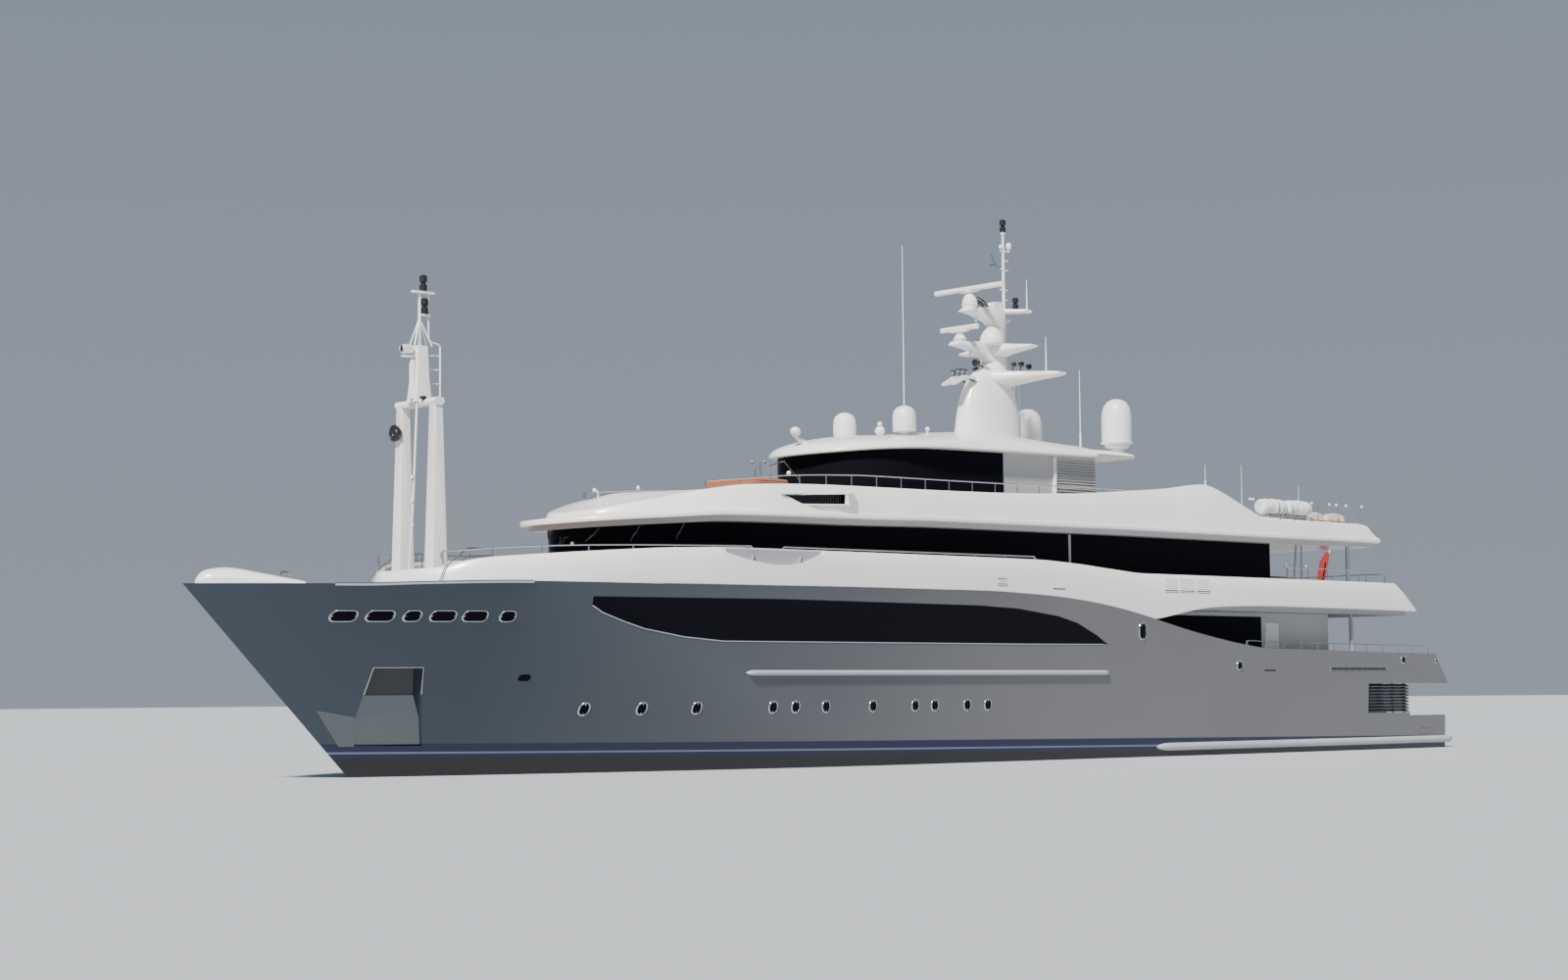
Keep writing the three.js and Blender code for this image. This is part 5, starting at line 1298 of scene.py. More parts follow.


# The joint in the shell
# The raised quarters and the low aft coaming are separate mouldings, which meet in a slanted
# groove; a grey strip along it is painted shade in the groove. A grey lip runs under each air intake.


def on_shell(x, z, out, side):
    low, high = SUN_FOOT(x) + 0.27, SHELL_TOP(x) - 0.08
    share = min(max((z - low) / (high - low), 0), 1)
    inset = np.interp(share, (0, 0.5, 1), (0.07, 0.04 + shell_lean(x) * 0.45,
            shell_lean(x) * 0.93)) + visor(x)
    return (x, side * (shell_half(x) - inset + out), z)


groove_shade = []
for side in (1, -1):
    upper = [(-14.3 - 0.09 * k, 9.62 - 0.045 * k) for k in range(13)]
    rings = [[on_shell(x + 0.05, z + 0.02, 0.012, side), on_shell(x - 0.05, z - 0.02, 0.012, side),
            on_shell(x - 0.05, z - 0.02, -0.06, side), on_shell(x + 0.05, z + 0.02, -0.06, side)]
            for x, z in upper]
    groove_shade.append(loft(rings))
fit("shell_groove_shade", groove_shade, house_grey_and_painted_shade, "grey_trim")
LIP = [(6.42, 9.76), (6.3, 9.4), (6.45, 9.05), (6.75, 8.97), (8.3, 9.14), (8.75, 9.24), (7.7, 9.27),
       (6.74, 9.32), (6.74, 9.74)]
lips = [loft([[on_shell(x, z, out, side) for x, z in LIP] for out in (-0.08, 0.03)]) for side in (1, -1)]
fit("intake_lips", lips, house_grey_and_painted_shade, "grey_trim", sharp=60)

# Rails, intakes and lamps of the sun deck
# A polished handrail stands on close posts inside the shell's top edge, with two swan necked
# lamp posts. A meshed air intake is let into each side, and ball lamps stand along the quarters.

SUN_RAIL = [(12.38, 10.02), (10.64, 10.18), (9.21, 10.31), (7.38, 10.41), (5.18, 10.48),
        (2.97, 10.49), (0.67, 10.50), (-3.82, 10.54), (-6.12, 10.57), (-8.9, 10.62)]
QUARTER_RAIL = [(-17.0, 10.45), (-21.0, 10.48), (-24.6, 10.48)]
BALL_LAMPS = (-16.83, -17.0, -21.11, -22.41, -22.93, -23.66, -24.82)
WHIPS = ((-14.06, 11.0, 11.86), (-16.44, 10.1, 11.96), (-20.32, 9.8, 11.31))


def coaming_inset(x):
    return visor(x) + shell_lean(x) + 0.2


sun_lines = [rail_line(SUN_RAIL, shell_half, coaming_inset, side) for side in (1, -1)]
quarter_lines = [rail_line(QUARTER_RAIL, shell_half, coaming_inset, side) for side in (1, -1)]
sun_bars = [tube(bent_down(line, 0.22), 0.022, 8) for line in sun_lines] + [tube(line, 0.01, 6)
        for line in quarter_lines]
sun_bars += [tube([(7.06, 0, 9.06), (7.06, 0, 10.85), (7.04, 0, 10.97), (7.11, 0, 11.11), (7.17, 0, 11.15)],
        0.025, 8),
        tube([(6.79, 0, 9.06), (6.79, 0, 11.22)], 0.022, 8),
        tube([(6.79, 0, 10.95), (7.06, 0, 10.95)], 0.016, 8),
        tube([(6.35, 0, 9.06), (6.35, 0, 10.95), (6.41, 0, 11.11), (6.55, 0, 11.17)], 0.025, 8),
        tube([(6.39, 0, 11.07), (5.6, 0, 11.29), (4.75, 0, 10.55)], 0.016, 8),
        ball((7.19, 0, 11.18), (0.065, 0.065, 0.065), 12, 8),
        ball((6.57, 0, 11.23), (0.065, 0.065, 0.065), 12, 8)]
fit("sun_deck_handrails", sun_bars, steel, "steel")
finish(along("sun_rail_posts", sun_lines, steel_posts, Spacing=1.2, Height=0.5, Radius=0.017), steel, "steel",
       sharp=45)
finish(along("quarter_rail_posts", quarter_lines, steel_posts, Spacing=1.3, Height=0.7, Radius=0.014), steel,
       "steel", sharp=45)
lamp_shapes = []
for side in (1, -1):
    lamp_y = lambda x: side * (shell_half(x) - coaming_inset(x))
    lamp_shapes += [ball((x, lamp_y(x), 10.56), (0.06, 0.06, 0.06), 14, 10) for x in BALL_LAMPS]
    lamp_shapes += [ball((9.21, lamp_y(9.21), 10.39), (0.08, 0.08, 0.08), 14, 10)]
    lamp_shapes += [tube([(x, side * 4.2, foot), (x, side * 4.2, foot + 0.2), (x, side * 4.2, foot + 0.22),
            (x, side * 4.2, top)],
            [0.03, 0.03, 0.012, 0.008], 8) for x, foot, top in WHIPS]
lamp_shapes.append(tube([(14.45, 0, 9.2), (14.5, 0, 9.74), (14.56, 0, 9.79), (14.68, 0, 9.81)],
        [0.03, 0.03, 0.04, 0.07], 12))
fit("sun_deck_lamps_and_aerials", lamp_shapes, white, "white_plastic")
vent_backs, vent_rims = [], []
for side, name in SIDES:
    # a near black plate behind each intake's bars, painted shade inside it
    vent_backs.append(loft([[(x, side * y, z) for x, z in spread(VENT, 0.03)] for y in (4.02, 4.1)]))
    lips = []
    for outline, y in ((VENT, 4.1), (VENT, 4.5), (spread(VENT, 0.05), 4.56)):
        lips.append([(x, side * y, z) for x, z in outline])
    vent_rims.append(loft(lips + [[(x, side * 4.1, z) for x, z in spread(VENT, 0.06)]] + lips[:1],
            caps=False))
    bars = along("intake_bars_" + name, [[(6.85, side * 4.34, 9.5), (9.5, side * 4.34, 9.5)]],
            slats_tree(slate), Count=22, Length=0.025, Depth=0.05, Thickness=0.42, Tilt=0.0)
    finish(bars, slate, "slate_paint")
fit("intake_backs", vent_backs, seal_rubber_and_painted_shade, "slate_paint")
fit("intake_rims", vent_rims, house_grey_and_painted_shade, "grey_trim")

# Life rafts
# Glass fibre canisters lie two to a side in polished cradles on the shell's coaming, each made
# of two halves strapped together over a flanged joint.


def lathe(profile, centre, axis="Z", around=36):
    """A turned form about an axis through a point, from rows of radius and distance along it."""
    rings = []
    for radius, run in profile:
        ring = []
        for a in round_turn(around):
            u, v = max(radius, 0.001) * math.cos(a), max(radius, 0.001) * math.sin(a)
            offset = (u, v, run) if axis == "Z" else (run, u, v)
            ring.append(tuple(c + o for c, o in zip(centre, offset)))
        rings.append(ring)
    return loft(rings)


white_plastic = white_paint("white_gelcoat", (0.80, 0.795, 0.78), 0.38)
raft = [(0, -0.8), (0.2, -0.795), (0.29, -0.76), (0.325, -0.68), (0.33, -0.42), (0.345, -0.415),
        (0.345, -0.37), (0.33, -0.365), (0.33, -0.03), (0.36, -0.025), (0.36, 0.025), (0.33, 0.03),
        (0.33, 0.365), (0.345, 0.37), (0.345, 0.415), (0.33, 0.42), (0.325, 0.68), (0.29, 0.76), (0.2, 0.795),
        (0, 0.8)]
for side, name in SIDES:
    canisters = together(*[lathe(raft, (x, side * 4.28, 10.28), "X") for x in (-18.3, -20.0)])
    fit("raft_canisters_" + name, [canisters], white_plastic, "white_plastic", sharp=35,
        replaces=("life_rafts_" + name,))
    bars = [tube([(-20.9, side * y, 9.9), (-17.4, side * y, 9.9)], 0.035, 8) for y in (4.08, 4.48)]
    for x in (-18.3, -20.0):
        for at in (x - 0.46, x + 0.46):
            bars.append(tube([(at, side * (4.28 + 0.37 * math.sin(a)), 10.28 - 0.37 * math.cos(a))
                    for a in np.linspace(-1.5, 1.5, 13)], 0.022, 8))
            bars.append(tube([(at, side * 4.08, 9.8), (at, side * 4.08, 10.02)], 0.022, 8))
            bars.append(tube([(at, side * 4.48, 9.8), (at, side * 4.48, 10.02)], 0.022, 8))
    bars += [tube([(x, side * 4.62, 9.8), (x, side * 4.62, 10.3), (x, side * 4.62, 10.42)],
            [0.02, 0.02, 0.012], 8) for x in (-18.43, -19.34)]
    fit("raft_cradles_" + name, bars, steel, "steel")


# The sun deck's house and the hardtop over it
# A small house with black glass to its front and sides, its white walls and aft fins coloured grey
# as painted shade, under a white moulded hardtop whose raised wing carries the aft domes.

HARDTOP_FOOT = fair([(5.2, 11.5), (4.5, 11.56), (3.2, 11.67), (1.2, 11.77), (-1.5, 11.82), (-8.65, 11.9)])
HARDTOP_CROWN = fair([(5.2, 11.62), (4.3, 11.93), (2.6, 12.27), (0.4, 12.57), (-2.3, 12.81), (-3.7, 12.89),
        (-7.0, 12.7), (-8.65, 12.6)])
sun_house_loop = bowed_loop(-8.6, 0.5, 4.7, 3.0, 2.6)
under_top = lambda x: HARDTOP_FOOT(x) - 0.002
sun_wall = solid("sun_house_walls", *wrapped(open_side(sun_house_loop, -8.58),
        [(0, SUN_DECK + 0.002), (0, under_top), (-0.12, under_top),
        (-0.12, SUN_DECK + 0.002)]))
aft_wall = block("aft_wall", -8.6, -8.48, -3.0, 3.0, SUN_DECK + 0.002, under_top(-8.6) - 0.01)
combine(sun_wall, "UNION", carve(aft_wall, block("cut", -9, -8, -1.0, 1.0, 9.15, 11.2)))
finish(sun_wall, house_grey_and_painted_shade, "grey_trim", replaces=("sun_deckhouse",))
for side, name in SIDES:
    finish(along("sun_house_fins_" + name, [[(-7.38, side * 3.03, 9.2), (-7.38, side * 3.03, 11.75)]],
            slats_tree(house_grey_and_painted_shade), Count=24, Length=2.25, Depth=0.1, Thickness=0.03, Tilt=side * -0.6),
           house_grey_and_painted_shade, "grey_trim")
    post = tube([(-6.12, side * 3.03, 9.06), (-6.12, side * 3.03, 11.85)], 0.1, 14)
    fit("sun_house_post_" + name, [post], white, "white_paint")
sun_glazing = open_side(sun_house_loop, -3.15)
sun_pane = solid("sun_house_glass", *wrapped(sun_glazing, [(0.004, 9.9), (0.04, 9.9), (0.04, under_top),
        (0.004, under_top)]))
finish(sun_pane, dark_glass, "dark_glass", replaces=("sun_glass",))


top_loop = plan_loop(lambda x: bowed(x, 0, 5.2, 3.45, 2.4), -8.65, 5.2, 0.2, 0.5)
HARDTOP_EDGE = ((-0.3, 0), (-0.06, 0.01), (-0.01, 0.04), (0, 0.09), (-0.03, 0.15))  # distance out, rise
top_rings = [plan_ring(top_loop, out, lambda x: HARDTOP_FOOT(x) + rise) for out, rise in HARDTOP_EDGE]
hardtop = solid("hardtop_moulding", *loft(lid(top_rings[0], -8, 1.5, HARDTOP_FOOT)[::-1] + top_rings
        + lid(top_rings[-1], -8, 1.5, HARDTOP_CROWN, 0.6, 12), caps=False))
wing_loop = plan_loop(lambda x: 3.1 * max(1 - max((x + 7.5) / 1.5, 0) ** 2, 0.01) ** 0.5, -11.4, -6.0, 0.2,
        0.7)
wing_rings = [plan_ring(wing_loop, -0.3, 12.08), plan_ring(wing_loop, -0.04, 12.06),
        plan_ring(wing_loop, 0, 12.12), plan_ring(wing_loop, -0.06, 12.2),
        plan_ring(wing_loop, -0.35, 12.3, 0.2)]
wing = solid("wing", *loft(lid(wing_rings[0], -11, -7, 12.08)[::-1] + wing_rings
        + lid(wing_rings[-1], -11, -7, 12.5, 0.8), caps=False))
combine(hardtop, "UNION", wing)
finish(hardtop, white, "white_paint", sharp=40, replaces=("hardtop",))


# Domes and aerials on the hardtop
# Moulded radomes stand on short necks: two small ones forward, two large ones on the raised
# wing aft. Small aerials and whips are screwed to the hardtop between them.

FORE_DOME = [(0.16, 12.2), (0.16, 12.5), (0.3, 12.53), (0.43, 12.56), (0.45, 12.62), (0.45, 12.66),
        (0.435, 12.67), (0.435, 12.69), (0.45, 12.7), (0.45, 13.1), (0.435, 13.25), (0.38, 13.38),
        (0.28, 13.48), (0.14, 13.54), (0, 13.55)]
AFT_DOME = [(0.3, 12.3), (0.3, 12.45), (0.42, 12.47), (0.47, 12.5), (0.5, 12.62), (0.61, 12.66),
        (0.66, 12.68), (0.66, 12.74), (0.61, 12.76), (0.62, 12.95), (0.62, 13.7), (0.6, 13.95), (0.53, 14.18),
        (0.41, 14.36), (0.22, 14.47), (0, 14.5)]
for side, name in SIDES:
    fit("satellite_dome_" + name, [lathe(FORE_DOME, (0.85, side * 1.65, 0))], white_plastic, "white_plastic",
        sharp=35, replaces=("dome_fore_" + name,))
    fit("radome_" + name, [lathe(AFT_DOME, (-10.6, side * 2.45, 0))], white_plastic, "white_plastic",
        sharp=35, replaces=("dome_aft_" + name,))
small_dome = [(0.02, 0), (0.12, 0.02), (0.16, 0.06), (0.2, 0.12), (0.2, 0.2), (0.16, 0.29), (0.08, 0.34),
        (0, 0.35)]
fin_outline = [(4.3, 11.7), (5.1, 12.28), (4.98, 12.3), (4.2, 12.0), (3.7, 11.9)]
roof_gear = [loft([[(x, y, z) for x, z in spread(fin_outline, grow)]
        for y, grow in ((-0.06, -0.03), (-0.04, 0), (0.04, 0), (0.06, -0.03))]),
        lathe(small_dome, (5.0, 0, 12.27)), lathe(small_dome, (0.54, 0, 12.56)),
        tube([(0.54, 0, 12.4), (0.54, 0, 12.6)], 0.06, 12), ball((0.54, 0, 13.0), (0.1, 0.1, 0.1), 14, 10),
        tube([(0.54, 0, 12.85), (0.54, 0, 12.95)], 0.03, 8),
        lathe([(0.05, 12.6), (0.05, 12.8), (0.09, 12.82), (0.09, 12.9), (0.04, 12.94), (0, 12.95)],
        (-0.76, 1.3, -0.08)),
        lathe([(0.05, 12.6), (0.05, 12.8), (0.09, 12.82), (0.09, 12.9), (0.04, 12.94), (0, 12.95)],
        (-0.76, -1.3, -0.08))]
for x, y, low, high in ((-0.8, 0, 12.5, 20.1), (-11.15, 0, 12.1, 15.97), (-7.45, 0, 12.5, 15.2)):
    roof_gear.append(tube([(x, y, low), (x, y, low + 1.2), (x, y, low + 1.25), (x, y, high)],
            [0.05, 0.04, 0.022, 0.012], 8))
fit("roof_aerials", roof_gear, white_plastic, "white_plastic", sharp=45)
seams = []
for k in range(9):
    turns = [0.9 + math.pi + t for t in (-0.16, 0, 0.16)]
    seams.append(tube([(-10.6 + 0.635 * math.cos(a), -2.45 - 0.635 * math.sin(a), 12.9 + 0.15 * k)
            for a in turns], 0.014, 6))
fit("radome_ladder_rungs", seams, steel, "steel")

# The main mast
# A welded aluminium tower stands on the hardtop. Swept arms carry the two radar scanners forward,
# three pairs of tapered spreaders carry lamps and aerials, and a pole rises behind it.

MAST = [  # columns: height, fore end, aft end, half width
    (12.4, -3.72, -7.25, 0.78), (13.2, -3.86, -7.2, 0.76), (14.0, -4.02, -7.15, 0.7),
    (14.5, -4.2, -7.0, 0.64), (15.0, -4.44, -6.8, 0.55), (15.45, -4.9, -6.75, 0.46),
    (15.8, -5.5, -6.65, 0.36), (16.7, -5.55, -6.6, 0.26), (18.1, -5.75, -6.55, 0.18),
]
SPREADERS = (  # at the root and at the tip: fore end, aft end, out, foot, top
    ((-4.9, -6.9, 0, 14.9, 15.5), (-6.9, -7.45, 2.6, 15.22, 15.4)),
    ((-5.5, -6.6, 0, 16.1, 16.66), (-5.95, -6.45, 2.0, 16.34, 16.46)),
    ((-6.2, -6.6, 0, 17.9, 18.1), (-6.8, -7.25, 1.0, 17.87, 18.05)),
)
LOWER_ARM = [(-3.55, 16.42), (-3.7, 16.58), (-4.66, 16.62), (-5.3, 16.68), (-5.8, 16.9), (-6.2, 16.6),
        (-5.9, 15.8), (-5.4, 15.94), (-5.22, 16.1), (-4.8, 16.24), (-4.16, 16.34)]
UPPER_ARM = [(-4.1, 17.82), (-4.34, 17.98), (-5.34, 18.08), (-6.4, 18.1), (-6.45, 17.3), (-5.85, 17.3),
        (-5.5, 17.53), (-5.1, 17.62), (-4.69, 17.74)]


def tower(sections):
    """A smooth upright form whose oval sections are faired between rows."""
    fore, aft, half = [fair([(row[0], row[k]) for row in sections]) for k in (1, 2, 3)]
    rings = []
    for z in np.linspace(sections[0][0], sections[-1][0], 44):
        ring = []
        for a in round_turn(40):
            c, s = math.cos(a), math.sin(a)
            x = (fore(z) + aft(z)) / 2 + (fore(z) - aft(z)) / 2 * c
            ring.append((x, half(z) * math.copysign(abs(s) ** 0.85, s), z))
        rings.append(ring)
    return loft(rings)


def spreader(root, tip, side):
    rings = []
    for share in np.linspace(0, 1, 16):
        fore, aft, out, foot, top = [a + (b - a) * share for a, b in zip(root, tip)]
        thin = top - foot
        if share > 0.97:
            fore, aft, thin = fore - 0.04, aft + 0.04, thin * 0.6
        swell = 1 + 0.35 * (1 - share) ** 3
        ring = []
        for a in round_turn(20):
            c, s = math.cos(a), math.sin(a)
            ring.append(((fore + aft) / 2 + (fore - aft) / 2 * math.copysign(abs(c) ** 0.8, c), side * out,
                    (foot + top) / 2 + thin / 2 * swell * math.copysign(abs(s) ** 0.6, s)))
        rings.append(ring)
    return loft(rings)


def soft_slab(outline, half, soft=0.07):
    """An outline of x and z made as thick as twice half, with rounded edges."""
    levels = [(-half, -soft), (-half + soft * 0.3, -soft * 0.3), (-half + soft, 0), (half - soft, 0),
            (half - soft * 0.3, -soft * 0.3), (half, -soft)]
    return loft([[(x, y, z) for x, z in spread(outline, grow)] for y, grow in levels])


mast = solid("mast_tower", *tower(MAST))
for root, tip in SPREADERS:
    for side in (1, -1):
        combine(mast, "UNION", solid("spreader", *spreader(root, tip, side)))
combine(mast, "UNION", solid("arm", *soft_slab(LOWER_ARM, 0.28)), solid("arm", *soft_slab(UPPER_ARM, 0.26)))
combine(mast, "UNION", solid("pole", *tube([(-6.6, 0, 14.6), (-6.6, 0, 21.2)], [0.09, 0.05], 16)))
finish(mast, white, "white_paint", sharp=40, replaces=("main_mast",))
LOWER_GEAR = [(0.22, 16.5), (0.24, 16.58), (0.24, 16.64), (0.27, 16.65), (0.27, 16.7), (0.24, 16.71),
        (0.2, 16.8), (0.15, 16.84), (0.15, 16.878)]
UPPER_GEAR = [(0.3, 17.9), (0.31, 18.08), (0.33, 18.09), (0.33, 18.14), (0.31, 18.15), (0.3, 18.3),
        (0.28, 18.32), (0.25, 18.4), (0.2, 18.49), (0.17, 18.5), (0.17, 18.528)]
mast_dome = [(0.4, 16.5), (0.47, 16.56), (0.5, 16.66), (0.48, 16.82), (0.41, 17.0), (0.3, 17.15),
        (0.16, 17.26), (0, 17.3)]
pole_gear = [lathe(LOWER_GEAR, (-4.0, 0, 0)), lathe(UPPER_GEAR, (-4.6, 0, 0)),
        lathe(mast_dome, (-5.6, 0.25, 0)), lathe([(0.06, 21.16), (0.1, 21.18), (0.1, 21.26), (0.06, 21.28)],
        (-6.6, 0, 0))]
for z, back, fore in ((20.5, 0.36, -0.16), (20.11, 0.28, 0), (19.71, 0.27, 0), (19.76, 0, -0.16),
        (18.9, 0.2, -0.2), (18.5, 0.2, 0)):
    pole_gear.append(tube([(-6.6 - back, 0, z), (-6.6 - fore, 0, z)], 0.03, 8))
for x, y, z, r in ((-6.94, 0, 20.72, 0.13), (-6.46, 0, 20.66, 0.08), (-4.6, 0, 16.16, 0.08),
        (-4.95, 0, 17.56, 0.08), (-6.85, 0, 17.68, 0.08)):
    pole_gear.append(ball((x, y, z), (r * 0.9, r * 0.9, r * 1.3), 16, 10))
pole_gear.append(tube([(-6.94, 0, 20.5), (-6.94, 0, 20.62)], 0.03, 8))
pole_gear.append(tube([(-6.85, 0, 17.6), (-6.6, 0, 17.62)], 0.03, 8))
for x, y, low, high in ((-7.1, 1.8, 15.3, 16.84), (-7.0, 0.9, 17.9, 19.26), (-7.1, -1.8, 15.3, 16.84),
        (-6.7, 0.4, 15.4, 13.64)):
    pole_gear.append(tube([(x, y, low), (x, y, (low + high) / 2), (x, y, high)], [0.035, 0.025, 0.012], 8))
pole_gear.append(loft([[(x, y, z) for x, z in oblong(-6.1, 18.2, 0.6, 0.3, 5)] for y in (-0.2, 0.2)]))
for y in (0.24, -0.24):
    plate = [(-4.5, 15.16), (-3.9, 15.2), (-3.3, 14.86), (-3.35, 14.78), (-3.95, 15.08), (-4.5, 15.06)]
    pole_gear.append(loft([[(x, y + d, z) for x, z in plate] for d in (-0.16, 0.16)]))
fit("mast_gear", pole_gear, white_plastic, "white_plastic", sharp=35)
black_fitting = sprayed("black_fitting", (0.012, 0.012, 0.014), 0.35, 0.1)
black_gear = []
for x, y, low, high in ((-6.6, 0, 21.26, 21.8), (-6.75, 0.5, 18.05, 18.55)):
    rows = [(0.06, low), (0.12, low + 0.02), (0.13, low + 0.2), (0.1, low + 0.22), (0.06, low + 0.25),
            (0.1, low + 0.28), (0.13, low + 0.3), (0.13, high - 0.04), (0.08, high - 0.01), (0, high)]
    black_gear.append(lathe(rows, (x, y, 0), around=20))
black_gear += [tube([(-6.6, 0, 19.8), (-6.2, 0, 19.85), (-6.05, 0, 20.0), (-5.95, 0, 20.15), (-5.9, 0, 20.3)],
        0.012, 6),
        tube([(-6.1, 0, 19.9), (-5.8, 0, 19.85)], 0.02, 6)]
for y in (0.12, -0.12):
    for a, b in (((-4.9, 18.3), (-5.6, 18.1)), ((-4.9, 18.45), (-5.25, 18.35)),
            ((-5.25, 18.35), (-5.6, 18.1)), ((-4.9, 18.15), (-5.25, 18.35))):
        black_gear.append(tube([(a[0], y, a[1]), (b[0], y, b[1])], 0.025, 6))
# searchlights in two clusters: forward on a bar out of the tower, aft on the main spreader
lamp_bodies, lamp_glasses = [], []
SEARCHLIGHTS = [(x, y, z) for x, z in ((-5.95, 15.72), (-6.4, 15.76), (-6.85, 15.7)) for y in (1.05, -1.05)]
SEARCHLIGHTS += [(-3.95, y, z) for y, z in ((0.28, 15.38), (0, 15.42), (-0.28, 15.38))]
for x, y, z in SEARCHLIGHTS:
    face = 0.11 if x > -5 else -0.11
    lamp_bodies.append(tube([(x - face, y, z), (x - face * 0.6, y, z), (x + face, y, z),
            (x + face * 1.05, y, z)],
            [0.03, 0.08, 0.105, 0.1], 14))
    lamp_glasses.append(ball((x + face * 1.02, y, z), (0.03, 0.09, 0.09), 14, 8))
    black_gear.append(tube([(x, y, z - 0.08), (x, y, z - 0.3)], 0.025, 6))
black_gear.append(tube([(-3.95, 0.36, 15.12), (-3.95, -0.36, 15.12)], 0.03, 8))
black_gear += [tube([(-3.95, y, 15.12), (-4.6, y, 15.0)], 0.03, 8) for y in (0.25, -0.25)]
black_gear.append(lathe([(0.02, -0.2), (0.14, -0.18), (0.15, 0.02), (0.1, 0.04), (0, 0.05)],
        (-4.75, 0.1, 15.78), "X", 20))
black_gear.append(tube([(-4.85, 0.1, 15.78), (-5.3, 0.1, 15.6)], 0.03, 8))
fit("mast_black_fittings", black_gear + lamp_bodies, black_fitting, "slate_paint", sharp=45)
fit("searchlight_glasses", lamp_glasses, steel, "steel")

# Radar scanners
# Each scanner is a slotted bar in a white moulded cover, bolted to a turning hub. They ride on
# their own bodies and turn.

SCANNERS = (("scanner_upper", -4.6, 18.65, 3.7, 0.16), ("scanner_lower", -4.0, 17.0, 2.0, 0.12))
for body, x, z, length, half in SCANNERS:
    rows = []
    for y in np.concatenate([[-length / 2, -length / 2 + 0.02, -length / 2 + 0.06],
            np.linspace(-length / 2 + 0.1, length / 2 - 0.1, 16),
            [length / 2 - 0.06, length / 2 - 0.02, length / 2]]):
        near = min((length / 2 - abs(y)) / 0.06, 1)
        ease = 0.72 + 0.28 * math.sqrt(1 - (1 - near) ** 2)
        section = [(x + half * 0.82 * ease, z + 0.015), (x + half * ease, z + 0.05),
                (x + half * ease, z + 0.15), (x + half * 0.7 * ease, z + 0.2), (x, z + 0.215),
                (x - half * 0.6 * ease, z + 0.19), (x - half * 0.8 * ease, z + 0.12),
                (x - half * 0.8 * ease, z + 0.03), (x, z + 0.004)]
        rows.append([(a, y, b) for a, b in section])
    bar = loft(rows)
    hub = lathe([(0.11, z - 0.118), (0.13, z - 0.11), (0.13, z - 0.05), (0.2, z - 0.03), (0.2, z + 0.03),
            (0.1, z + 0.05)], (x, 0, 0), around=24)
    shoe = loft([[(a, b, z + h) for a, b in ((x + 0.1, -0.45), (x + 0.1, 0.45), (x - 0.1, 0.45),
            (x - 0.1, -0.45))] for h in (-0.03, 0.03)])
    fit(body + "_bar", [bar, hub, shoe], white_plastic, "white_plastic", body=body, sharp=35,
        replaces=(body,))

# The forward mast
# A white painted goalpost of two tapered box legs stands on the foredeck, with a trunk, a ladder,
# a lamp pole, the horn and a searchlight above its crossbar.

FORE_X = 22.1
LEG = [(UPPER_DECK + 0.002, 0.33, 0.25), (12.3, 0.18, 0.16),
       (12.36, 0.16, 0.14)]  # height, half length, half width


def box_leg(rows, y_middle=0.0, corner=0.05):
    """A tapered box section with rounded corners, from rows of height, half length and half width."""
    rings = []
    for z, length, half in rows:
        corners = oblong(0, 0, 2 * corner, 2 * corner, 4)
        rings.append([(FORE_X + a + math.copysign(length - corner, a),
                y_middle + b + math.copysign(half - corner, b), z) for a, b in corners])
    return loft(rings)


fore_mast = solid("goalpost", *box_leg(LEG, 0.95))
combine(fore_mast, "UNION", solid("leg", *box_leg(LEG, -0.95)),
        solid("bar", *loft([[(FORE_X + a, y, 12.37 + b) for a, b in oblong(0, 0, 0.42, 0.26, 5)]
        for y in (-1.15, 1.15)])),
        solid("trunk", *box_leg([(12.4, 0.34, 0.28), (13.2, 0.26, 0.24), (14.3, 0.22, 0.2)])),
        solid("pole", *tube([(FORE_X, 0, 14.2), (FORE_X, 0, 16.1)], [0.06, 0.05], 14)))
finish(fore_mast, white, "white_paint", sharp=40, replaces=("fore_mast",))
fore_gear = [tube([(21.7, 0.15, 14.3), (22.08, 0, 15.2)], 0.028, 8),
        tube([(21.7, -0.15, 14.3), (22.08, 0, 15.2)], 0.028, 8),
        tube([(22.4, 0.15, 14.3), (22.12, 0, 15.2)], 0.028, 8),
        tube([(22.4, -0.15, 14.3), (22.12, 0, 15.2)], 0.028, 8),
        tube([(21.26, 0, 14.3), (21.26, 0, 14.34), (21.34, 0, 14.42), (21.6, 0, 14.46), (21.72, 0, 14.54),
        (21.74, 0, 15.0), (21.74, 0, 16.16)], 0.03, 10),
        tube([(21.26, 0, 14.34), (21.26, 0, 12.6), (21.3, 0, 12.2), (21.3, 0, 6.22)], 0.032, 10),
        tube([(22.9, 0.5, 6.22), (22.7, 0.5, 9.0), (22.55, 0.5, 12.3)], 0.04, 10),
        tube([(22.42, 0.05, 13.8), (22.42, 0.05, 12.5)], [0.11, 0.1], 14),
        loft([[(x, y, z) for x, y in oblong(21.95, 0, 0.95, 0.2, 5)] for z in (16.1, 16.16)]),
        loft([[(x, y, z) for x, y in oblong(21.9, 0, 0.45, 0.16, 5)] for z in (15.34, 15.39)]),
        loft([[(x, y, z) for x, z in oblong(22.62, 14.17, 0.42, 0.3, 5)] for y in (-0.13, 0.13)]),
        loft([[(x, y, z) for x, y in oblong(22.55, 0, 0.55, 0.3, 5)] for z in (13.9, 13.94)]),
        tube([(22.3, 0, 14.2), (22.6, 0, 14.2)], 0.05, 8)]
for z in (9.8, 9.0, 8.2):
    fore_gear.append(loft([[(x, y, level) for x, y in oblong(middle, 0.5, 0.12, 0.12, 4)]
            for middle, level in ((22.75, z), (22.73, z + 0.1))]))
fit("fore_mast_gear", fore_gear, white, "white_paint", sharp=45)


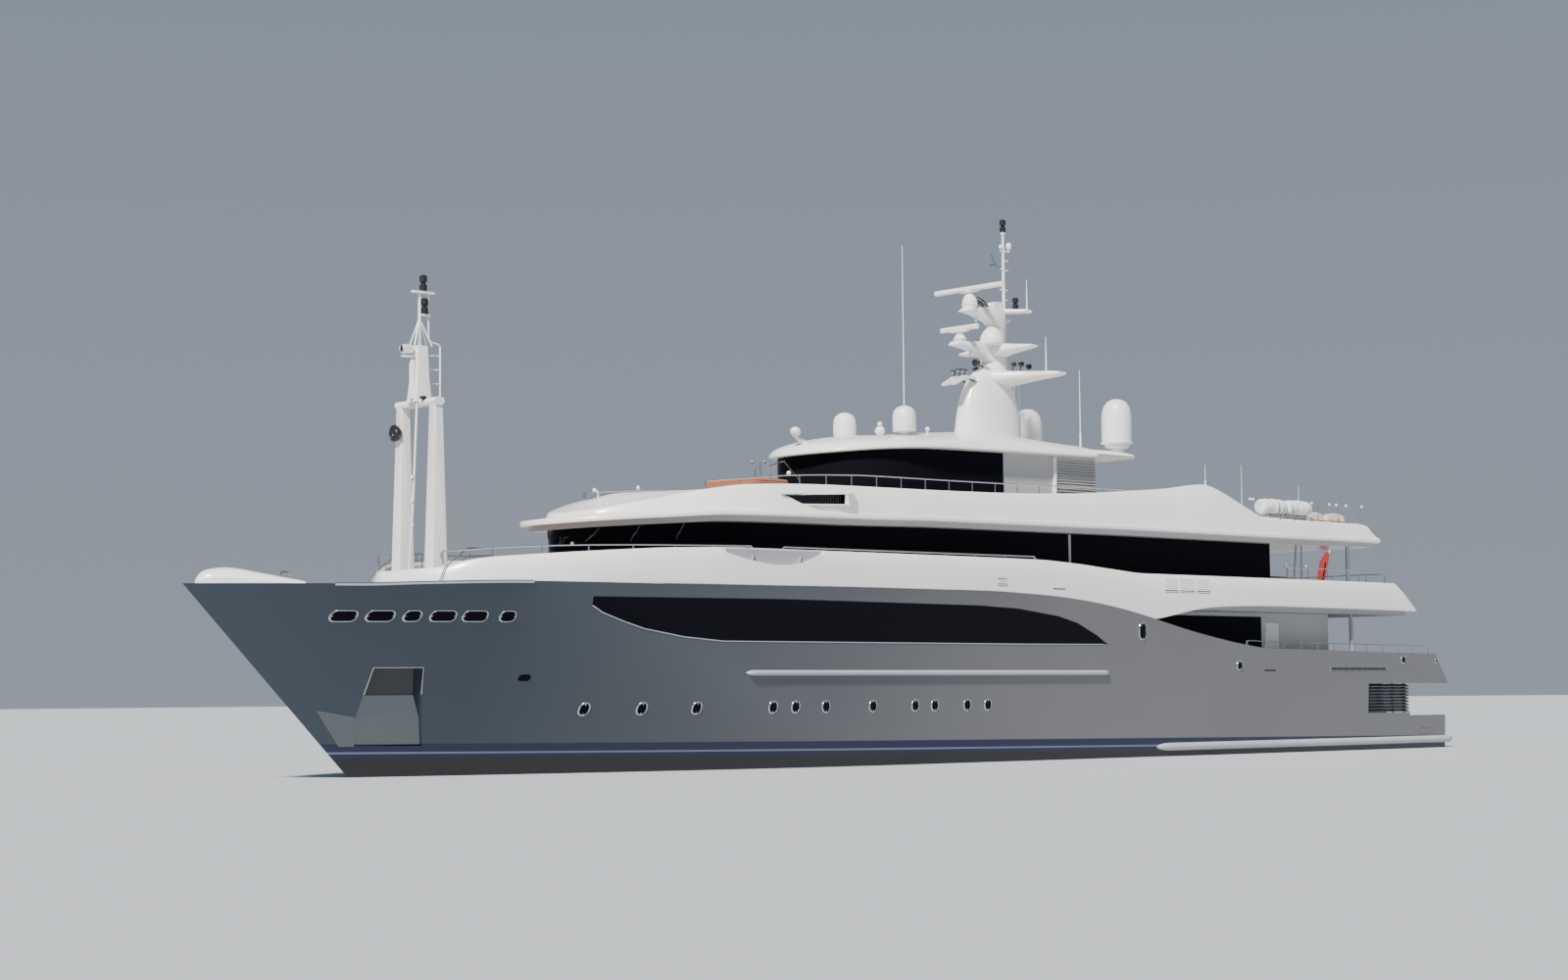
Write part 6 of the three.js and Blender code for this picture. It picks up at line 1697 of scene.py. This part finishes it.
def rungs_tree(material):
    """Round rungs lying across a path, at even spaces along it."""
    tree, given, placed = repeats_tree("rungs", (("Spacing", 0.5), ("Length", 0.4), ("Radius", 0.02)),
            material)
    rung = add_node(tree, "GeometryNodeMeshCylinder", Vertices=10)
    placed.inputs["Rotation"].default_value = (0.0, math.pi / 2, 0.0)
    connect(tree, (given, "Length", rung, "Depth"), (given, "Radius", rung, "Radius"),
            (rung, "Mesh", placed, "Instance"))
    return tree


ladder = along("fore_mast_rungs", [[(21.56, 0, 14.02), (21.56, 0, 12.6)]], rungs_tree(white), Spacing=0.46,
        Length=0.62, Radius=0.022)
finish(ladder, white, "white_paint", sharp=45)
fore_black = []
for low in (16.18, 15.4):
    rows = [(0.08, low), (0.13, low + 0.02), (0.13, low + 0.2), (0.08, low + 0.23), (0.08, low + 0.27),
            (0.13, low + 0.3), (0.13, low + 0.5), (0.06, low + 0.54), (0, low + 0.55)]
    fore_black.append(lathe(rows, (21.95 if low > 16 else 21.9, 0, 0), around=20))
# the horn on the starboard leg: a black drum with a ribbed face
drum = [(0.06, -0.16), (0.2, -0.14), (0.27, -0.02), (0.29, 0.02), (0.29, 0.06), (0.25, 0.07), (0.23, 0.04),
        (0.17, 0.04), (0.15, 0.06), (0.1, 0.06), (0.08, 0.04), (0, 0.04)]
fore_black += [lathe(drum, (22.42, -0.95, 11.42), "X", 28), ball((22.82, 0, 14.17), (0.03, 0.1, 0.12), 12, 8),
        lathe([(0.04, 0), (0.12, 0.02), (0.12, 0.1), (0.05, 0.12)], (22.3, 0.5, 12.45), around=14)]
fit("fore_mast_black_fittings", fore_black, black_fitting, "slate_paint", sharp=45)

# The bow fairing, the windlasses and the stowed anchor
# A white moulding closes the stem head over the hull's deck edge. Two capstans stand on one
# bedplate in the mooring deck's well, and the starboard anchor hangs in its pocket.

FAIRING_HALF = fair([(27.7, 2.1), (28.6, 1.5), (29.5, 0.85), (30.2, 0.4), (30.5, 0.12)])
FAIRING_TOP = fair([(27.7, 6.3), (28.6, 6.55), (29.5, 6.7), (30.2, 6.6), (30.5, 6.35)])
rings = []
for x in np.linspace(27.7, 30.5, 28):
    half, top, low = FAIRING_HALF(x), FAIRING_TOP(x), sheer(x) + 0.002
    near = min(min(x - 27.7, 30.5 - x) / 0.12, 1)
    ease = 0.9 + 0.1 * math.sqrt(1 - (1 - near) ** 2)
    rings.append([(x, half * ease * math.cos(a), low + (top - low) * ease * math.sin(a) ** 0.7)
            for a in np.linspace(0, math.pi, 25)])
fit("bow_moulding", [loft(rings)], white, "white_paint", sharp=40, replaces=("bow_fairing",))
hoops = [tube([(28.05, side * 0.95, 6.3), (28.05, side * 0.93, 6.5), (27.98, side * 0.93, 6.57),
        (27.78, side * 0.93, 6.57), (27.68, side * 0.93, 6.5), (27.66, side * 0.95, 6.16)], 0.035, 10)
        for side in (1, -1)]
fit("bow_mooring_hoops", hoops, steel, "steel")
CAPSTAN = [(0.3, 4.9), (0.35, 4.93), (0.35, 5.06), (0.3, 5.1), (0.21, 5.16), (0.18, 5.26), (0.19, 5.38),
        (0.24, 5.46), (0.31, 5.51), (0.31, 5.55), (0.2, 5.58), (0, 5.585)]
capstans = [lathe(CAPSTAN, (26.0, y, 0)) for y in (0.85, -0.85)]
capstans.append(loft([[(26.0 + a * grow, b * grow, z) for a, b in oblong(0, 0, 0.9, 2.5, 6)]
        for z, grow in ((4.792, 1), (4.89, 1), (4.95, 0.96))]))
for y in (0.85, -0.85):
    for k in range(8):
        a = math.pi * k / 4
        rib = [(26.0 + r * math.cos(a), y + r * math.sin(a), z)
               for r, z in ((0.2, 5.15), (0.185, 5.26), (0.2, 5.38), (0.245, 5.46))]
        capstans.append(tube(rib, 0.018, 6))
fit("capstans", capstans, steel, "steel", sharp=35, replaces=("windlasses",))
shank = [(24.0, 1.5), (24.3, 1.5), (24.42, 3.3), (24.2, 3.3)]
crown = [(23.3, 1.42), (23.5, 1.2), (24.6, 1.2), (24.85, 1.42), (24.6, 1.62), (23.55, 1.62)]
flukes = [[(23.32, 1.45), (23.72, 1.45), (23.72, 2.2), (23.56, 2.52), (23.44, 2.2)],
        [(24.42, 1.45), (24.82, 1.45), (24.8, 2.2), (24.68, 2.52), (24.54, 2.2)]]
anchor_parts = [skin_plate(outline, low, high, -1) for outline, low, high in
        [(shank, -0.3, -0.1), (crown, -0.24, 0.06)] + [(fluke, -0.2, -0.04) for fluke in flukes]]
fit("stowed_anchor", anchor_parts, pocket_steel, "steel")

# Rails on the foredeck
# Steps lead from the foredeck up to the band's nose between two polished rails.

stair_bars = []
for side in (1, -1):
    stair_bars += [tube([(22.75, side * 2.0, 6.22), (22.5, side * 2.0, 6.78), (21.6, side * 2.0, 7.44),
            (21.5, side * 2.0, 7.46), (20.6, side * 2.0, 7.47)], 0.024, 8),
            tube([(22.3, side * 2.0, 6.68), (21.55, side * 2.0, 7.2), (20.6, side * 2.0, 7.24)], 0.018, 8)]
    stair_bars += [tube([(x, side * 2.0, 6.21), (x, side * 2.0, 7.46)], 0.022, 8) for x in (21.5, 20.6)]
fit("foredeck_rails", stair_bars, steel, "steel")

# The ensign
# A plain red bunting flag hangs slack from a white painted staff at the aft end of the upper deck.

STAFF_FOOT, STAFF_HEAD = Vector((-27.3, 0, 6.3)), Vector((-28.2, 0, 9.1))
staff_shapes = [tube([STAFF_FOOT, STAFF_FOOT.lerp(STAFF_HEAD, 0.5), STAFF_HEAD], [0.04, 0.038, 0.03], 14),
        ball(tuple(STAFF_HEAD), (0.05, 0.05, 0.04), 14, 10),
        tube([(-27.34, 0, 6.44), (-27.56, 0, 7.12), (-27.57, 0, 7.14)], [0.1, 0.1, 0.06], 16),
        loft([[(x, y, z) for x, y in oblong(-27.3, 0, 0.24 * grow, 0.24 * grow, 5)]
        for z, grow in ((6.203, 1), (6.34, 1), (6.4, 0.7))])]
fit("ensign_pole", staff_shapes, white, "white_paint", sharp=40, replaces=("ensign_staff",))
HOIST, FLY = 1.2, 1.8


def hanging_flag():
    """A slack flag: its hoist follows the staff and its folds run down to the fly."""
    rows, columns = 24, 90
    verts, faces = [], []
    for j in range(rows + 1):
        v = j / rows
        spot = STAFF_HEAD.lerp(STAFF_FOOT, 0.06 + v * HOIST / 2.94)
        for i in range(columns + 1):
            u = i / columns
            fold = 2 * math.pi * (3.2 * u + 0.25 * v * u)
            swing = 0.175 * min(0.15 + u * 4, 1) * (1 - 0.2 * u)
            verts.append((spot.x + 0.04 + 0.62 * u + 0.05 * math.sin(fold * 0.5 + 1),
                    spot.y + swing * math.sin(fold), spot.z - 0.62 * u ** 1.2 - 0.05 * u
                    * math.sin(fold + 0.6)))
    for j in range(rows):
        for i in range(columns):
            a = j * (columns + 1) + i
            faces.append((a, a + 1, a + columns + 2, a + columns + 1))
    return verts, faces


def bunting(name, colour):
    """Woven cloth: fine crossed threads and slow changes of shade."""
    material = sprayed(name, colour, 0.85, 0.0)
    tree = material.node_tree
    shader = tree.nodes["Principled BSDF"]
    shader.inputs["Coat Weight"].default_value = 0.0
    shader.inputs["Sheen Weight"].default_value = 0.25
    weave = add_node(tree, "ShaderNodeTexWave", Scale=160.0, Distortion=1.5)
    place = next(node for node in tree.nodes if node.type == "TEX_COORD")
    bump = next(node for node in tree.nodes if node.type == "BUMP")
    connect(tree, (place, "Object", weave, "Vector"), (weave, "Fac", bump, "Height"))
    bump.inputs["Strength"].default_value = 0.25
    bump.inputs["Distance"].default_value = 0.003
    return material


ensign = solid("ensign", *hanging_flag())
thick = ensign.modifiers.new("cloth", "SOLIDIFY")
thick.thickness = 0.002
settle(ensign)
finish(ensign, bunting("red_bunting", (0.24, 0.01, 0.014)), "white_plastic")

# Soft furnishings and covers
# Fitted covers lie over the furniture, with piped seams round their tops. The sun deck's aft
# seats have cream cushions on a white moulded bench, under a varnished cap.


def padding(name, x0, x1, y0, y1, z0, z1, crown=0.05, soft=0.12):
    """A crowned pad with rounded corners and slightly sunk seams."""
    middle_x, middle_y = (x0 + x1) / 2, (y0 + y1) / 2
    rings = []
    for share, inset in ((0, 0.02), (0.04, 0), (0.5, -0.015), (0.85, 0), (0.95, 0.02), (1.0, 0.06)):
        plan = rounded_plan(middle_x, middle_y, x1 - x0 - 2 * inset, abs(y1 - y0) - 2 * inset, soft)
        rings.append([(a, b, z0 + (z1 - z0) * share) for a, b in plan])
    piping, rim = rings[4], rings[5]
    for s in (0.85, 0.65, 0.4, 0.2, 0.02):
        rise = crown * (1 - s ** 2.2)
        rings.append([(middle_x + (x - middle_x) * s, middle_y + (y - middle_y) * s,
                z + rise + 0.006 * math.sin(9 * x + 4 * y) * (1 - s)) for x, y, z in rim])
    bead = tube([(x, y, z + 0.004) for x, y, z in piping + piping[:2]], 0.012, 6)
    return solid(name, *together(loft(rings), bead))


def rounded_plan(x, y, long, wide, radius):
    return closer(rounded(x, y, long, wide, radius, 6), 0.2)


cream = bunting("cream_canvas", (0.66, 0.58, 0.46))
rust = bunting("rust_canvas", (0.3, 0.1, 0.04))
for side, name in SIDES:
    bench = [loft([[(x, side * y, z) for x, y in rounded_plan(-22.3, 3.45, 3.7 * grow, 0.86, 0.1)]
            for z, grow in ((9.055, 0.97), (9.4, 1.0))])]
    fit("sun_bench_" + name, bench, white_plastic, "white_plastic")
    for k, (fore, aft) in enumerate(((-20.55, -21.3), (-21.38, -22.5), (-22.6, -24.0))):
        seat = padding("seat_cushion_%s_%d" % (name, k + 1), aft, fore, side * 3.05, side * 3.68, 9.402, 9.55)
        back = padding("back_cushion_%s_%d" % (name, k + 1), aft + 0.03, fore - 0.03, side * 3.7, side * 3.93,
                9.402, 10.17, crown=0.06, soft=0.1)
        for cushion in (seat, back):
            finish(cushion, cream, "white_plastic", sharp=60)
    cap = loft([[(x, side * (shell_half(x) - shell_lean(x) - out), SHELL_TOP(x) + up)
            for out, up in ((0.12, 0.0), (0.12, 0.045), (0.42, 0.05), (0.42, 0.0))]
            for x in np.linspace(-23.6, -21.0, 20)])
    fit("coaming_cap_" + name, [cap], sprayed("varnished_cap_" + name, (0.17, 0.05, 0.028), 0.3, 0.0), "teak")
forward_cover = padding("sun_pad_cover", 6.5, 8.5, -1.5, 1.5, 9.063, 10.44, crown=0.12, soft=0.4)
finish(forward_cover, rust, "white_plastic", sharp=60)
table_cover = padding("aft_table_cover", -24.3, -22.3, -1.0, 1.0, 6.202, 7.58, crown=0.08, soft=0.3)
finish(table_cover, cream, "white_plastic", sharp=60)
for side, name in SIDES:
    sofa_cover = padding("aft_sofa_cover_" + name, -26.3, -24.9, side * 2.5, side * 3.9, 6.202, 7.05,
            crown=0.1, soft=0.3)
    finish(sofa_cover, cream, "white_plastic", sharp=60)

# Under the water
# Bronze propellers turn on stainless shafts in painted brackets. Rudders and stabiliser fins
# carry the hull's antifouling.

bronze = polished("propeller_bronze", (0.42, 0.27, 0.10), 0.28)
antifouling = sprayed("antifouling", (0.03, 0.018, 0.02), 0.8, 0.0)
dress(bronze, "propeller_port", "propeller_stbd")
dress(steel, "shaft_port", "shaft_stbd")
dress(antifouling, "bracket_port", "bracket_stbd", "rudder_port", "rudder_stbd", "stabiliser_fin_port",
      "stabiliser_fin_stbd")
